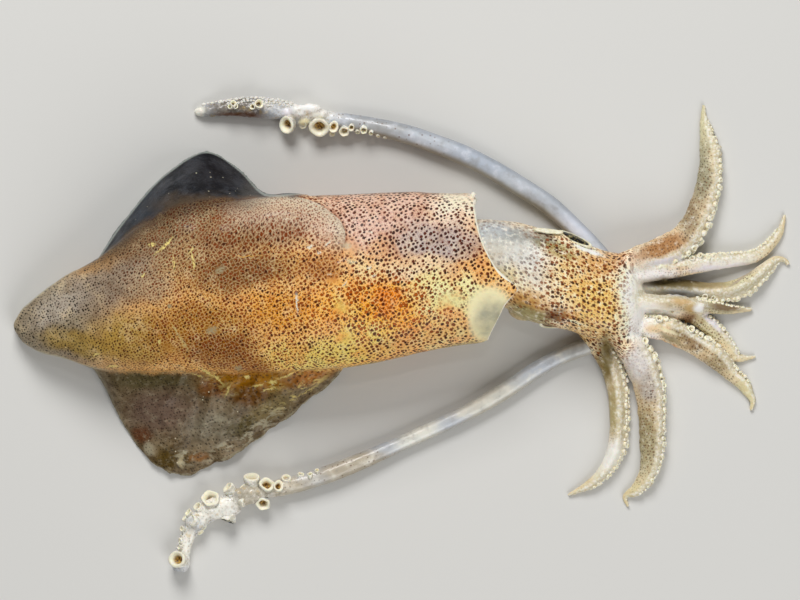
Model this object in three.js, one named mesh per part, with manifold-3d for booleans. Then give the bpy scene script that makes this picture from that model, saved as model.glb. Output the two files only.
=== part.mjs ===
// A whole raw squid lying on its belly: a mantle with two tail fins, the head, eight arms and two long
// tentacles with clubs. It is one piece of flesh, so it is one closed solid. Millimetres, +Z up, and the
// surface that the squid lies on is Z = 0. +X points from the tail to the arms and +Y to the squid's left.
// The body is rolled a little to its right, so the middle line of its back leans towards -Y.
import * as THREE from 'three';
import { mergeVertices } from 'three/addons/utils/BufferGeometryUtils.js';
import Module from 'manifold-3d';

const wasm = await Module();
wasm.setup();

// ---- Driving dimensions ----
const BED = 0.46; // height of a resting body's middle, as a share of its height: under 0.5 is a flat belly
const FULLNESS = 0.88; // under 1 fills out the corners of the trunk's oval sections
const RIM_X = 19.9; // where the mantle's front edge lies on the whole
const RIM_SLANT = 1.9; // how much further it reaches on the right than on the left
const BACK_ANGLE = 110; // direction of the middle of the back, in degrees round from +Y
const RIM_REACH = 5.4; // how far the edge reaches ahead over the back
const RIM_SPREAD = 32; // degrees
const POINT_ANGLE = 107; // direction of the small point in the middle of that edge
const POINT_REACH = 3.4;
const POINT_SPREAD = 8; // degrees
const RIM_BAND = 14; // length over which the mantle's front follows the shape of its edge
const FIN_ROOT_THICKNESS = 3.4;
const FIN_EDGE_THICKNESS = 1.3;
const FIN_RIPPLE = 0.35; // height of the waves along a fin's edge
const FIN_WAVES = 4.5;
const EYE_RADIUS = 5.8;
const LIMB_DEPTH = 0.9; // height of an arm's section as a share of its width
const SUCKER_SIDES = 6;
const SUCKER_FOOT = 0.7; // width of a sucker's foot as a share of its mouth
const ARM_SUCKER = 0.42; // radius of an arm's suckers as a share of its half width there
const ARM_SUCKER_REACH = 1.4; // distance of their mouths from the arm's middle line, in half widths

// Facets round a section
const TRUNK_FACETS = 24;
const HEAD_FACETS = 18;
const FUNNEL_FACETS = 12;
const LIMB_FACETS = 8;
const FIN_FACETS = 12;
const FIN_RINGS = 16;

// Stations of the trunk: x, y, lift of the underside, half width, height
const MANTLE = [
  [-97.2, 2.4, 0.4, 0, 4.6], [-95.8, 2.4, 0, 3.1, 5.6], [-92.4, 2.7, 0, 6, 8.8], [-85.4, 4.4, 0, 9.8, 13],
  [-75.4, 5.6, 0, 14, 17.5], [-65.4, 9.4, 0, 18.4, 20.6], [-50.4, 12.1, 0, 21.3, 24],
  [-34.9, 12.5, 0, 21.7, 26], [-12.9, 13.8, 0, 21.6, 26], [4.6, 15.7, 0, 20.1, 24.5],
  [14, 16.6, 0, 18.9, 23], [18.4, 16.9, 0, 18.5, 22.2],
];
// The edge turns inwards, and the wall inside runs back to the floor of the collar
const COLLAR = [
  [19.9, 16.9, 0.6, 17.8, 20.9], [19.2, 16.9, 2.4, 16.6, 18.6], [14, 16.6, 3.2, 16.2, 18.4],
  [8, 16.2, 4, 14, 16.8], [6, 16.2, 6, 7.5, 10], [5.6, 16.2, 9, 0, 3],
];
const HEAD = [
  [-1, 17.5, 6, 0, 8], [1.5, 17.6, 6, 6.5, 10], [7.1, 18.2, 4.5, 9, 14.5], [13.4, 18.6, 3.6, 10, 16.6],
  [19.6, 18.6, 2.2, 10.5, 18.6], [24.6, 18.2, 0.8, 10.6, 18.6], [29.6, 16.4, 0, 11.8, 18.2],
  [35.9, 14.5, 0, 12, 19], [42.1, 13.1, 0, 11.9, 18.5], [47.1, 11, 0, 11.6, 17],
  [51.5, 9.6, 0, 11.4, 15.2], [55.6, 8.9, 0, 11, 12.6], [59, 8.2, 0, 8.6, 9.6], [61.4, 8, 1, 0, 5],
];
const FUNNEL = [
  [6, 15.5, 4, 0, 3], [8, 15.5, 2, 3.4, 5], [14, 15.5, 1.6, 5.4, 7], [22, 15.3, 0.6, 5, 6.4],
  [29, 15, 0, 4, 5.4], [33, 14.8, 0, 2.6, 4.2], [34, 14.8, 1, 0, 2],
];
const LEFT_EYE = [38.6, 20.5, 10.6];
const RIGHT_EYE = [36.2, 8.4, 9.4];

// Stations of the arms, from the left to the right: x, y, lift of the underside, half width. They start
// inside the head. Suckers stand on the side +1, left of the arm's own heading, or -1, right of it.
const ARMS = [
  { route: [[50, 15.5, 6, 2.8], [58.5, 19.2, 5.2, 2.9], [65, 21.4, 3, 3], [70.7, 24.9, 1, 2.9],
    [73.8, 30, 0, 2.5], [76.2, 37.7, 0, 2.3], [76.8, 43.5, 0, 1.9], [76, 49.4, 0, 1.1],
    [75.5, 53.5, 0, 0.7], [75.8, 57.8, 0.2, 0.3]],
  suckers: { side: -1, from: 0.3, to: 0.8, count: 8 } },
  { route: [[52, 14.2, 5, 2.8], [62.1, 15.8, 4, 2.3], [69.6, 16.8, 2.8, 2], [79.6, 18.3, 0.8, 1.5],
    [84.6, 18.8, 0, 1.35], [89, 19.7, 0, 1.2], [92.2, 22, 0, 1], [94.8, 25.5, 0, 0.8],
    [96.1, 30.3, 0.2, 0.3]],
  suckers: { side: 1, from: 0.26, to: 0.66, count: 7 } },
  { route: [[52, 11.2, 1, 2.6], [64.6, 11.9, 0.4, 1.9], [70, 11.8, 0, 2.2], [78.4, 11.1, 0, 2.1],
    [82.4, 11.5, 0, 2.2], [86, 12.8, 0, 2.1], [89, 15, 0, 1.8], [91.4, 17.2, 0, 1.4], [94, 19.1, 0, 0.9],
    [95.8, 19.1, 0, 0.6], [97.2, 17.7, 0.1, 0.3]],
  suckers: { side: -1, from: 0.24, to: 0.68, count: 7 } },
  { route: [[50, 8.6, 6.5, 2.6], [63.4, 8.2, 5, 1.7], [69.6, 7.9, 4, 1.75], [74.6, 7.2, 3, 1.7],
    [78.4, 6.8, 2, 1.35], [83.4, 6.3, 0.9, 0.8], [88, 6.6, 0.3, 0.3]],
  suckers: { side: 1, from: 0.4, to: 0.56, count: 2 } },
  { route: [[52, 6.2, 3, 2.4], [62, 6.5, 2, 1.5], [68.4, 6.1, 1, 1.5], [72.1, 5.2, 0.3, 1.7],
    [75.4, 3.4, 0, 1.8], [78, 1.2, 0, 1.7], [80.4, -1.3, 0, 1.4], [82.4, -3.9, 0, 1.1],
    [84.1, -5.9, 0, 0.8], [86.1, -5.8, 0, 0.6], [88.9, -5.3, 0.1, 0.3]],
  suckers: { side: 1, from: 0.34, to: 0.68, count: 5 } },
  { route: [[52, 3.6, 4, 2.8], [62.1, 1.9, 2.6, 2.4], [66.4, 1.1, 1.4, 2.4], [70.4, -0.6, 0.4, 2.4],
    [73.9, -2.6, 0, 2.4], [77.6, -5, 0, 2.3], [80.1, -7.3, 0, 1.9], [82.2, -9.7, 0, 1.4],
    [84.7, -11.8, 0, 1.2], [86.7, -14.2, 0, 1], [88, -16.8, 0, 0.65], [87.6, -18.8, 0.1, 0.3]],
  suckers: { side: 1, from: 0.16, to: 0.56, count: 7 } },
  { route: [[50, 4, 4, 3], [57, -2.6, 3, 3.6], [60.6, -9, 1, 3.4], [62, -14.6, 0, 3],
    [62.3, -20.5, 0, 2.7], [62.4, -26.2, 0, 2.5], [62, -31.8, 0, 2], [60.4, -36.1, 0, 1.4],
    [58.1, -38.7, 0, 0.95], [55.9, -40.4, 0, 0.6], [56.9, -43.1, 0.1, 0.3]],
  suckers: { side: 1, from: 0.17, to: 0.66, count: 9 } },
  { route: [[45, 4, 2, 2.6], [49.6, -2.6, 1, 2.7], [51.9, -7, 0.4, 2.5], [53.5, -12, 0, 2.3],
    [54.1, -18, 0, 2.05], [54.1, -23.5, 0, 2], [53.6, -28, 0, 2], [52.2, -31.4, 0, 1.7],
    [49.7, -34.9, 0, 1.3], [46.4, -37.6, 0, 0.9], [41.6, -40.1, 0.1, 0.3]],
  suckers: { side: 1, from: 0.26, to: 0.76, count: 8 } },
];

// The tentacles run back beside the mantle and end in clubs. Suckers of a club: x, y, radius of the mouth.
const TENTACLES = [
  { route: [[54.5, 13.5, 4, 2], [51.3, 18.3, 3, 2.2], [47.3, 22.8, 1.6, 2.3], [42.5, 27.6, 0.4, 2.4],
    [38.2, 31.6, 0, 2.45], [29.3, 37.6, 0, 2.5], [19.7, 43.2, 0, 2.5], [9.6, 47.6, 0, 2.5],
    [-0.4, 50.9, 0, 2.4], [-10.5, 53.1, 0, 2.15], [-18, 54.3, 0, 2], [-25.4, 55.6, 0, 2.1],
    [-33, 56.8, 0, 2.4], [-40.4, 57.1, 0, 2.3], [-46.4, 56.6, 0, 1.7], [-51.9, 56.2, 0, 0.9]],
  suckers: [[-28.5, 52, 2.1], [-24.6, 51.8, 1.4], [-21.4, 51.8, 2.3], [-16.9, 52.3, 1.2],
    [-14.3, 50.9, 1.1], [-11, 50.9, 0.8], [-7.8, 50.5, 0.7], [-25.6, 57.4, 1.2], [-33, 58.9, 0.7],
    [-36.6, 59.2, 0.7], [-40.2, 59.2, 0.7], [-43.8, 58.5, 0.6], [-35, 55.4, 0.8], [-39, 55.4, 0.8]] },
  { route: [[55, 2.4, 1.6, 2], [49.8, -1.6, 1, 2], [43.5, -3.8, 0.2, 2.1], [39.8, -5.3, 0, 2.1],
    [34.8, -7.9, 0, 2.1], [25.3, -14.2, 0, 2.1], [15.2, -19.9, 0, 2], [4.8, -24.7, 0, 1.9],
    [-5.2, -29.3, 0, 2], [-15.2, -33.5, 0, 2.3], [-25.3, -36.9, 0, 2.2], [-34.9, -39.2, 0, 2],
    [-44.1, -42.3, 0, 2.1], [-50.6, -46, 0, 1.9], [-53.7, -51, 0, 1.5], [-54.7, -55.2, 0, 1.5],
    [-56.7, -59.4, 0, 1]],
  suckers: [[-43.2, -38.6, 1.7], [-37.4, -36.1, 1.9], [-33.4, -36.6, 1.6], [-30.6, -35.6, 1.2],
    [-26.4, -35, 0.9], [-22.6, -34, 0.8], [-18.6, -32.8, 0.7], [-47.4, -40.3, 1.6], [-51.6, -42.6, 1],
    [-53.8, -45.6, 1], [-55.4, -50, 0.8], [-56, -54, 0.7], [-34.9, -42.2, 1.6], [-43.7, -46, 1.6],
    [-50.6, -49.4, 1]] },
];

// Fins: the root follows the back, the shoulder is where the fin leaves the body, and the edge lies out flat.
// The left fin's lines run forwards and the right fin's run backwards.
const LEFT_FIN = {
  root: [[-80, 11, 12], [-70, 13, 16.5], [-55, 17, 21.5], [-38, 19, 24.6], [-21, 19.5, 25.4]],
  shoulder: [[-80, 11, 12], [-70, 21, 15], [-55, 30, 24], [-38, 32, 27], [-21, 19.5, 25.4]],
  edge: [[-80, 11, 12], [-75.4, 19.8, 4.5], [-68.4, 30, 1.2], [-58, 41.2, 1], [-48.6, 46, 1],
    [-40.6, 41.4, 1.2], [-35.8, 36.3, 4], [-32, 34.8, 12], [-24, 34.9, 17.5], [-17, 31.4, 22],
    [-14.4, 25, 25], [-21, 19.5, 25.4]],
};
const RIGHT_FIN = {
  root: [[-12, -4, 8], [-35, -6, 11], [-55, -6, 10.5], [-70, -4, 8.5], [-84, 1, 6]],
  shoulder: [[-12, -4, 8], [-35, -13, 8], [-55, -14, 8], [-70, -11, 7], [-84, 1, 6]],
  edge: [[-12, -4, 8], [-17, -11, 2.5], [-25.4, -17.8, 1.2], [-34.9, -25.3, 1], [-44.1, -30.8, 1],
    [-55, -34.9, 1], [-62.4, -32, 1], [-69.1, -23.1, 1], [-76, -9.5, 2], [-84, 1, 6]],
};

// ---- Bodies made from a sphere ----

// The sphere's poles become the two ends of a body and its rings the cross-sections. place gives the point at
// t, from 0 to 1 along the body, in the direction (side, up) on the unit circle.
function bodyFromSphere(facets, rings, place) {
  const geometry = new THREE.SphereGeometry(1, facets, rings);
  const { position } = geometry.attributes;
  for (let i = 0; i < position.count; i++) {
    const ring = Math.floor(i / (facets + 1));
    const angle = (2 * Math.PI * (i % (facets + 1))) / facets;
    const point = place(ring / rings, -Math.cos(angle), Math.sin(angle));
    position.setXYZ(i, point.x, point.y, point.z);
  }
  return geometry;
}

// One smooth curve runs through the stations' middles and another through their half widths and half heights
function smoothStations(stations) {
  const middles = stations.map(([x, y, lift, , height]) => new THREE.Vector3(x, y, lift + BED * height));
  const sizes = stations.map(
    ([, , , wide, height]) => new THREE.Vector3(wide, wide && (1 - BED) * height, 0),
  );
  const route = new THREE.CatmullRomCurve3(middles);
  const sizeRoute = new THREE.CatmullRomCurve3(sizes);
  return (t) => {
    const size = sizeRoute.getPoint(t);
    return {
      middle: route.getPoint(t),
      heading: route.getTangent(t),
      wide: Math.max(size.x, 0),
      high: Math.max(size.y, 0),
    };
  };
}

// The trunk's sections stand square to X
function trunk(stations, facets, ringsEach) {
  const at = smoothStations(stations);
  const fuller = (value) => Math.sign(value) * Math.abs(value) ** FULLNESS;
  return bodyFromSphere(facets, ringsEach * (stations.length - 1), (t, side, up) => {
    const { middle, wide, high } = at(t);
    return middle.add(new THREE.Vector3(0, wide * fuller(side), high * fuller(up)));
  });
}

// Directions across a limb and up from it, where its middle line heads along heading
function limbAxes(heading) {
  const across = new THREE.Vector3(0, 0, 1).cross(heading).normalize();
  return { across, upward: heading.clone().cross(across) };
}

// A limb's own height follows from its width, and its two ends close to a point
function limbStations(route) {
  return route.map(([x, y, lift, wide], i) => {
    const closed = i === 0 || i === route.length - 1;
    return [x, y, lift, closed ? 0 : wide, 2 * LIMB_DEPTH * wide];
  });
}

function limb(route, facets, ringsEach) {
  const at = smoothStations(limbStations(route));
  return bodyFromSphere(facets, ringsEach * (route.length - 1), (t, side, up) => {
    const { middle, heading, wide, high } = at(t);
    const { across, upward } = limbAxes(heading);
    return middle.addScaledVector(across, side * wide).addScaledVector(upward, up * high);
  });
}

// The fin is a thin lens in section, bent over the shoulder from its root to its edge
function fin({ root, shoulder, edge }, facets, rings) {
  const line = (points) => new THREE.CatmullRomCurve3(points.map((point) => new THREE.Vector3(...point)));
  const [rootLine, shoulderLine, edgeLine] = [root, shoulder, edge].map(line);
  const heading = rootLine.getPoint(1).sub(rootLine.getPoint(0)).normalize();
  return bodyFromSphere(facets, rings, (t, side, up) => {
    const section = new THREE.QuadraticBezierCurve3(
      rootLine.getPointAt(t),
      shoulderLine.getPointAt(t),
      edgeLine.getPointAt(t),
    );
    const outward = (side + 1) / 2;
    const point = section.getPoint(outward);
    if (t === 0 || t === 1) return point;
    const normal = heading.clone().cross(section.getTangent(outward)).normalize();
    const thickness = THREE.MathUtils.lerp(FIN_ROOT_THICKNESS, FIN_EDGE_THICKNESS, outward);
    const ends = Math.sin(Math.PI * t) ** 0.5;
    point.addScaledVector(normal, (ends * up * thickness) / 2);
    point.z += FIN_RIPPLE * outward * Math.sin(FIN_WAVES * 2 * Math.PI * t);
    return point;
  });
}

// A sucker is a short cup that stands on the limb's middle line, with its mouth outside
function sucker(foot, mouth, radius) {
  const axis = mouth.clone().sub(foot);
  const cup = new THREE.CylinderGeometry(radius, radius * SUCKER_FOOT, axis.length(), SUCKER_SIDES);
  const upright = new THREE.Vector3(0, 1, 0);
  cup.applyQuaternion(new THREE.Quaternion().setFromUnitVectors(upright, axis.clone().normalize()));
  cup.translate(...foot.clone().addScaledVector(axis, 0.5));
  return cup;
}

// An arm's suckers sit in two rows on one side of it, turn about
function armSuckers({ route, suckers }) {
  const at = smoothStations(limbStations(route));
  return Array.from({ length: suckers.count }, (_, i) => {
    const t = THREE.MathUtils.lerp(suckers.from, suckers.to, i / (suckers.count - 1));
    const { middle, heading, wide } = at(t);
    const { across, upward } = limbAxes(heading);
    const tilt = THREE.MathUtils.degToRad(i % 2 ? 40 : 5);
    const mouth = middle.clone()
      .addScaledVector(across, suckers.side * Math.cos(tilt) * ARM_SUCKER_REACH * wide)
      .addScaledVector(upward, Math.sin(tilt) * ARM_SUCKER_REACH * wide);
    return sucker(middle, mouth, ARM_SUCKER * wide);
  });
}

// A club's suckers rise from the tentacle's flank with their mouths upwards
function clubSuckers({ route, suckers }) {
  const at = smoothStations(limbStations(route));
  const middles = Array.from({ length: 200 }, (_, i) => at(i / 199).middle);
  return suckers.map(([x, y, radius]) => {
    const mouth = new THREE.Vector3(x, y, 1.2 + 1.5 * radius);
    const away = (point) => Math.hypot(point.x - x, point.y - y);
    const nearest = middles.reduce((best, point) => (away(point) < away(best) ? point : best));
    const foot = mouth.clone().setZ(0.8).lerp(nearest, 0.4);
    return sucker(foot, mouth, radius);
  });
}

// ---- The mantle's front edge ----

// Over the back the edge reaches ahead and comes to a small point, which lies down on the neck
function shapeRim(geometry) {
  const { position } = geometry.attributes;
  const [, rimY, , rimWide, rimHeight] = MANTLE.at(-1);
  const bump = (angle, middle, spread) => Math.exp(-(((angle - middle) / spread) ** 2));
  for (let i = 0; i < position.count; i++) {
    const band = THREE.MathUtils.smoothstep(position.getX(i), RIM_X - RIM_BAND, RIM_X);
    const up = (position.getZ(i) - BED * rimHeight) / ((1 - BED) * rimHeight);
    const side = (position.getY(i) - rimY) / rimWide;
    const round = Math.atan2(up, side);
    const angle = THREE.MathUtils.radToDeg(round);
    const point = POINT_REACH * bump(angle, POINT_ANGLE, POINT_SPREAD);
    const reach = RIM_REACH * bump(angle, BACK_ANGLE, RIM_SPREAD) - RIM_SLANT * Math.cos(round);
    position.setX(i, position.getX(i) + band * (reach + point));
    position.setZ(i, position.getZ(i) - band * 0.3 * point);
  }
  return geometry;
}

// ---- Joining ----

function solid(geometry) {
  geometry.deleteAttribute('normal');
  geometry.deleteAttribute('uv');
  const merged = mergeVertices(geometry, 1e-4);
  return new wasm.Manifold(new wasm.Mesh({
    numProp: 3,
    vertProperties: merged.attributes.position.array,
    triVerts: new Uint32Array(merged.index.array),
  }));
}

function geometryOf(manifold) {
  const { vertProperties, triVerts } = manifold.getMesh();
  const geometry = new THREE.BufferGeometry();
  geometry.setAttribute('position', new THREE.BufferAttribute(vertProperties, 3));
  geometry.setIndex(new THREE.BufferAttribute(triVerts, 1));
  geometry.computeVertexNormals();
  return geometry;
}

const eye = (middle) => new THREE.SphereGeometry(EYE_RADIUS, 14, 9).translate(...middle);

const flesh = [
  shapeRim(trunk([...MANTLE, ...COLLAR], TRUNK_FACETS, 2)),
  fin(LEFT_FIN, FIN_FACETS, FIN_RINGS),
  fin(RIGHT_FIN, FIN_FACETS, FIN_RINGS),
  trunk(HEAD, HEAD_FACETS, 2),
  trunk(FUNNEL, FUNNEL_FACETS, 2),
  eye(LEFT_EYE),
  eye(RIGHT_EYE),
  ...ARMS.map(({ route }) => limb(route, LIMB_FACETS, 2)),
  ...TENTACLES.map(({ route }) => limb(route, LIMB_FACETS, 1)),
  ...ARMS.flatMap(armSuckers),
  ...TENTACLES.flatMap(clubSuckers),
];

// Everything below the surface is cut away, so the squid lies flat where it touches
const underTheSurface = solid(new THREE.BoxGeometry(400, 400, 40).translate(0, 0, -20));
const joined = flesh.map(solid).reduce((whole, piece) => whole.add(piece)).subtract(underTheSurface);

const skin = new THREE.MeshStandardMaterial({ color: '#b98b62', roughness: 0.35, metalness: 0 });
const squid = new THREE.Mesh(geometryOf(joined), skin);
squid.name = 'squid';

const part = new THREE.Group();
part.add(squid);

export default part;
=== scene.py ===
# A whole raw squid lying on its belly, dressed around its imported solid. Metres, +Z up, +X from the tail to
# the arms, +Y to the squid's left. Lists of stations and places are in millimetres, times MM.
import math
import random

import bpy
import numpy as np
from mathutils import Matrix, Vector


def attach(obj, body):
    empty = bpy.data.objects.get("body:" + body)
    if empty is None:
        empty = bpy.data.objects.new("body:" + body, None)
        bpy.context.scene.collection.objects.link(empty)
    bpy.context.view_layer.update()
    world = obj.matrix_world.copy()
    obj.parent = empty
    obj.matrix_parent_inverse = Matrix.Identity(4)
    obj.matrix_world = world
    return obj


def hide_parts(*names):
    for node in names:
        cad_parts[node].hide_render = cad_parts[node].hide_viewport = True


MM = 0.001

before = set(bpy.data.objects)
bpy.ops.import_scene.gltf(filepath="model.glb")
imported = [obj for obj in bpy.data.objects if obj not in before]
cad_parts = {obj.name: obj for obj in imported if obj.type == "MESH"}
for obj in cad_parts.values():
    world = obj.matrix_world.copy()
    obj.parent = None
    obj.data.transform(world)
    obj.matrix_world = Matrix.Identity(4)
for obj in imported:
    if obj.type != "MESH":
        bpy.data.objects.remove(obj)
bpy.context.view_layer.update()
for squid_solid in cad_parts.values():
    squid_solid.select_set(False)


# ---- Camera ----
# It looks straight down on the squid's back through a long lens, with the whole squid in view.
VIEW_WIDTH = 200 * MM
VIEW_MIDDLE = (-0.4 * MM, 8.9 * MM)
CAMERA_HEIGHT = 1.8

bpy.ops.object.camera_add(location=(*VIEW_MIDDLE, CAMERA_HEIGHT), rotation=(0, 0, 0))
camera = bpy.context.object
camera.name = "camera"
camera.data.sensor_width = 36
camera.data.lens = camera.data.sensor_width * (CAMERA_HEIGHT - 6 * MM) / VIEW_WIDTH
camera.data.clip_end = 10
bpy.context.scene.camera = camera


# ---- Paint ----
# A material is written as expressions. Arithmetic on a socket adds Math nodes, and every other node comes
# from Paint.add, which takes the node's type, its settings and the values or links of its inputs.
class Socket:
    """An output of a shader node, with arithmetic."""

    def __init__(self, paint, output):
        self.paint = paint
        self.output = output

    def _math(self, operation, *terms):
        return self.paint.add("ShaderNodeMath", {"operation": operation}, dict(enumerate(terms)))

    def __add__(self, other):
        return self._math("ADD", self, other)

    def __sub__(self, other):
        return self._math("SUBTRACT", self, other)

    def __rsub__(self, other):
        return self._math("SUBTRACT", other, self)

    def __mul__(self, other):
        return self._math("MULTIPLY", self, other)

    def __truediv__(self, other):
        return self._math("DIVIDE", self, other)

    def __rtruediv__(self, other):
        return self._math("DIVIDE", other, self)

    def __pow__(self, other):
        return self._math("POWER", self, other)

    __radd__ = __add__
    __rmul__ = __mul__

    def part(self, name):
        """Another output of the same node."""
        return Socket(self.paint, self.output.node.outputs[name])

    def rise(self, start, end):
        """0 before start and 1 after end, smooth between them. It falls where start is the larger."""
        low, high = (0, 1) if start < end else (1, 0)
        return self.paint.add(
            "ShaderNodeMapRange",
            {"interpolation_type": "SMOOTHSTEP"},
            {"Value": self, "From Min": min(start, end), "From Max": max(start, end),
             "To Min": low, "To Max": high},
        )


class Paint:
    """A material's nodes."""

    def __init__(self, name):
        self.material = bpy.data.materials.new(name)
        self.material.use_nodes = True
        self.tree = self.material.node_tree
        self.shader = self.tree.nodes["Principled BSDF"]

    def add(self, kind, settings, inputs, output=0):
        node = self.tree.nodes.new(kind)
        for name, value in settings.items():
            setattr(node, name, value)
        for name, value in inputs.items():
            self.plug(value, node.inputs[name])
        return Socket(self, node.outputs[output])

    def plug(self, value, target):
        if isinstance(value, Socket):
            self.tree.links.new(value.output, target)
        else:
            target.default_value = value

    def finish(self, **inputs):
        """Sets the shader's own inputs, named with _ for a space."""
        for name, value in inputs.items():
            self.plug(value, self.shader.inputs[name.replace("_", " ")])
        return self.material

    def place(self):
        return self.add("ShaderNodeTexCoord", {}, {}, "Object")

    def attribute(self, name, output="Vector"):
        return self.add("ShaderNodeAttribute", {"attribute_name": name}, {}, output)

    def axis(self, vector, name):
        """One coordinate of a vector. Its part() gives the others."""
        return self.add("ShaderNodeSeparateXYZ", {}, {"Vector": vector}, name)

    def noise(self, where, size, detail=3.0, roughness=0.55, output="Fac"):
        inputs = {"Vector": where, "Scale": 1 / size, "Detail": detail, "Roughness": roughness}
        return self.add("ShaderNodeTexNoise", {}, inputs, output)

    def cells(self, where, size, randomness=1.0, dimensions="3D", feature="F1"):
        """The distance to the middle of the nearest cell, or to the nearest border of one."""
        settings = {"voronoi_dimensions": dimensions, "feature": feature}
        inputs = {"Vector": where, "Scale": 1 / size, "Randomness": randomness}
        return self.add("ShaderNodeTexVoronoi", settings, inputs)

    def chance(self, cells):
        """A number from 0 to 1 for each cell. Its part() gives two more, Green and Blue."""
        return self.add("ShaderNodeSeparateColor", {}, {"Color": cells.part("Color")}, "Red")

    def vector(self, operation, *terms, output="Vector"):
        return self.add("ShaderNodeVectorMath", {"operation": operation}, dict(enumerate(terms)), output)

    def mix(self, factor, a, b, blend="MIX"):
        """Colour a, going to b as factor goes to 1. Each is a socket or a display colour, 0 to 255."""
        a, b = (one if isinstance(one, Socket) else colour(*one) for one in (a, b))
        colours = {0: factor, 6: a, 7: b}
        settings = {"data_type": "RGBA", "blend_type": blend}
        return self.add("ShaderNodeMix", settings, colours, 2)

    def patch(self, where, x, y, half_long, half_wide, turned=0.0, soft=0.7):
        """1 in the middle of an oval seen from above, fading to 0 at its edge. turned is in degrees."""
        offset = self.vector("SUBTRACT", where, (x * MM, y * MM, 0))
        sine, cosine = math.sin(math.radians(turned)), math.cos(math.radians(turned))
        along = self.vector("DOT_PRODUCT", offset, (cosine, sine, 0), output="Value") / (half_long * MM)
        across = self.vector("DOT_PRODUCT", offset, (-sine, cosine, 0), output="Value") / (half_wide * MM)
        return ((along * along + across * across) ** 0.5).rise(1, 1 - soft)

    def bump(self, height, strength, distance):
        inputs = {"Height": height, "Strength": strength, "Distance": distance}
        return self.add("ShaderNodeBump", {}, inputs)


def colour(red, green, blue):
    """A display colour, 0 to 255, as the shader wants it."""
    def linear(value):
        share = value / 255
        return share / 12.92 if share <= 0.04045 else ((share + 0.055) / 1.055) ** 2.4
    return (linear(red), linear(green), linear(blue), 1)


# ---- Table and lights ----
# A plain pale table under soft lamps: one broad lamp from the squid's left, a fill from its right, and a
# small one whose glints show that the skin is wet.
TABLE_COLOUR = colour(216, 215, 211)

bpy.ops.mesh.primitive_plane_add(size=8, location=(0, 0, -0.1 * MM))
table = bpy.context.object
table.name = "table"
bpy.ops.object.transform_apply(location=True, rotation=True, scale=True)
table.data.materials.append(Paint("table_paint").finish(Base_Color=TABLE_COLOUR, Roughness=0.75))

LAMPS = {
    "key_lamp": {"place": (-0.15, 0.75, 0.7), "size": 0.45, "power": 8.2},
    "fill_lamp": {"place": (0.35, -0.7, 0.6), "size": 0.7, "power": 5.0},
    "glint_lamp": {"place": (0.1, 0.35, 1.1), "size": 0.05, "power": 0.45},
}
for name, lamp in LAMPS.items():
    turned = (-Vector(lamp["place"])).to_track_quat("-Z", "Y").to_euler()
    bpy.ops.object.light_add(type="AREA", location=lamp["place"], rotation=turned)
    light = bpy.context.object
    light.name = name
    light.data.size = lamp["size"]
    light.data.energy = lamp["power"]

world = bpy.data.worlds.new("room")
world.use_nodes = True
world.node_tree.nodes["Background"].inputs["Color"].default_value = (1, 1, 1, 1)
world.node_tree.nodes["Background"].inputs["Strength"].default_value = 0.17
bpy.context.scene.world = world
bpy.context.scene.view_settings.view_transform = "Standard"


# ---- Mantle and fins ----
# The mantle is a thick muscular tube, closed to a blunt point at the tail and open round the neck. The two
# fins are thin flaps of the same flesh that grow out of its back. The skin over them is one piece.
BED = 0.46  # height of a resting body's middle, as a share of its height: under 0.5 is a flat belly
FULLNESS = 0.88  # under 1 fills out the corners of the oval sections

# x, y, lift of the underside, half width, height
MANTLE = [
    (-97.0, 2.4, 0.4, 0.9, 4.8), (-95.8, 2.4, 0, 3.1, 5.6), (-92.4, 2.7, 0, 6, 8.8), (-85.4, 4.4, 0, 9.8, 13),
    (-75.4, 5.6, 0, 14, 17.5), (-65.4, 9.4, 0, 18.4, 20.6), (-50.4, 12.1, 0, 21.3, 24),
    (-34.9, 12.5, 0, 21.7, 26), (-12.9, 13.8, 0, 21.6, 26), (4.6, 15.7, 0, 20.1, 24.5),
    (14, 16.6, 0, 18.9, 23), (18.4, 16.9, 0, 18.5, 22.2),
]
# The edge turns inwards, and the wall inside runs back to the floor of the collar
COLLAR = [
    (19.6, 16.9, 0.3, 18.0, 21.4), (19.9, 16.9, 1.2, 17.3, 19.8), (19.2, 16.9, 2.2, 16.6, 18.2),
    (14, 16.6, 3.2, 16.0, 17.4), (8, 16.2, 4, 14, 15.8), (6, 16.2, 6, 7.5, 10), (5.6, 16.2, 9, 0.5, 3),
]
MANTLE_SIDES = 48
MANTLE_RINGS = 60


def smooth_stations(stations, count):
    """More stations, evenly spaced on the smooth line through the given ones."""
    points = np.array(stations, float)
    steps = np.linalg.norm(np.diff(points[:, :3], axis=0), axis=1)
    reached = np.concatenate([[0], np.cumsum(steps)])
    slope = np.gradient(points, reached, axis=0)
    wanted = np.linspace(0, reached[-1], count)
    i = np.clip(np.searchsorted(reached, wanted, side="right") - 1, 0, len(steps) - 1)
    span = steps[i][:, None]
    u = ((wanted - reached[i]) / steps[i])[:, None]
    return (
        (1 + 2 * u) * (1 - u) ** 2 * points[i] + u * (1 - u) ** 2 * span * slope[i]
        + u * u * (3 - 2 * u) * points[i + 1] - u * u * (1 - u) * span * slope[i + 1]
    )


def close_mesh():
    """Ends the edit of a mesh with its faces turned outwards."""
    bpy.ops.mesh.select_all(action="SELECT")
    bpy.ops.mesh.normals_make_consistent(inside=False)
    bpy.ops.object.mode_set(mode="OBJECT")


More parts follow.
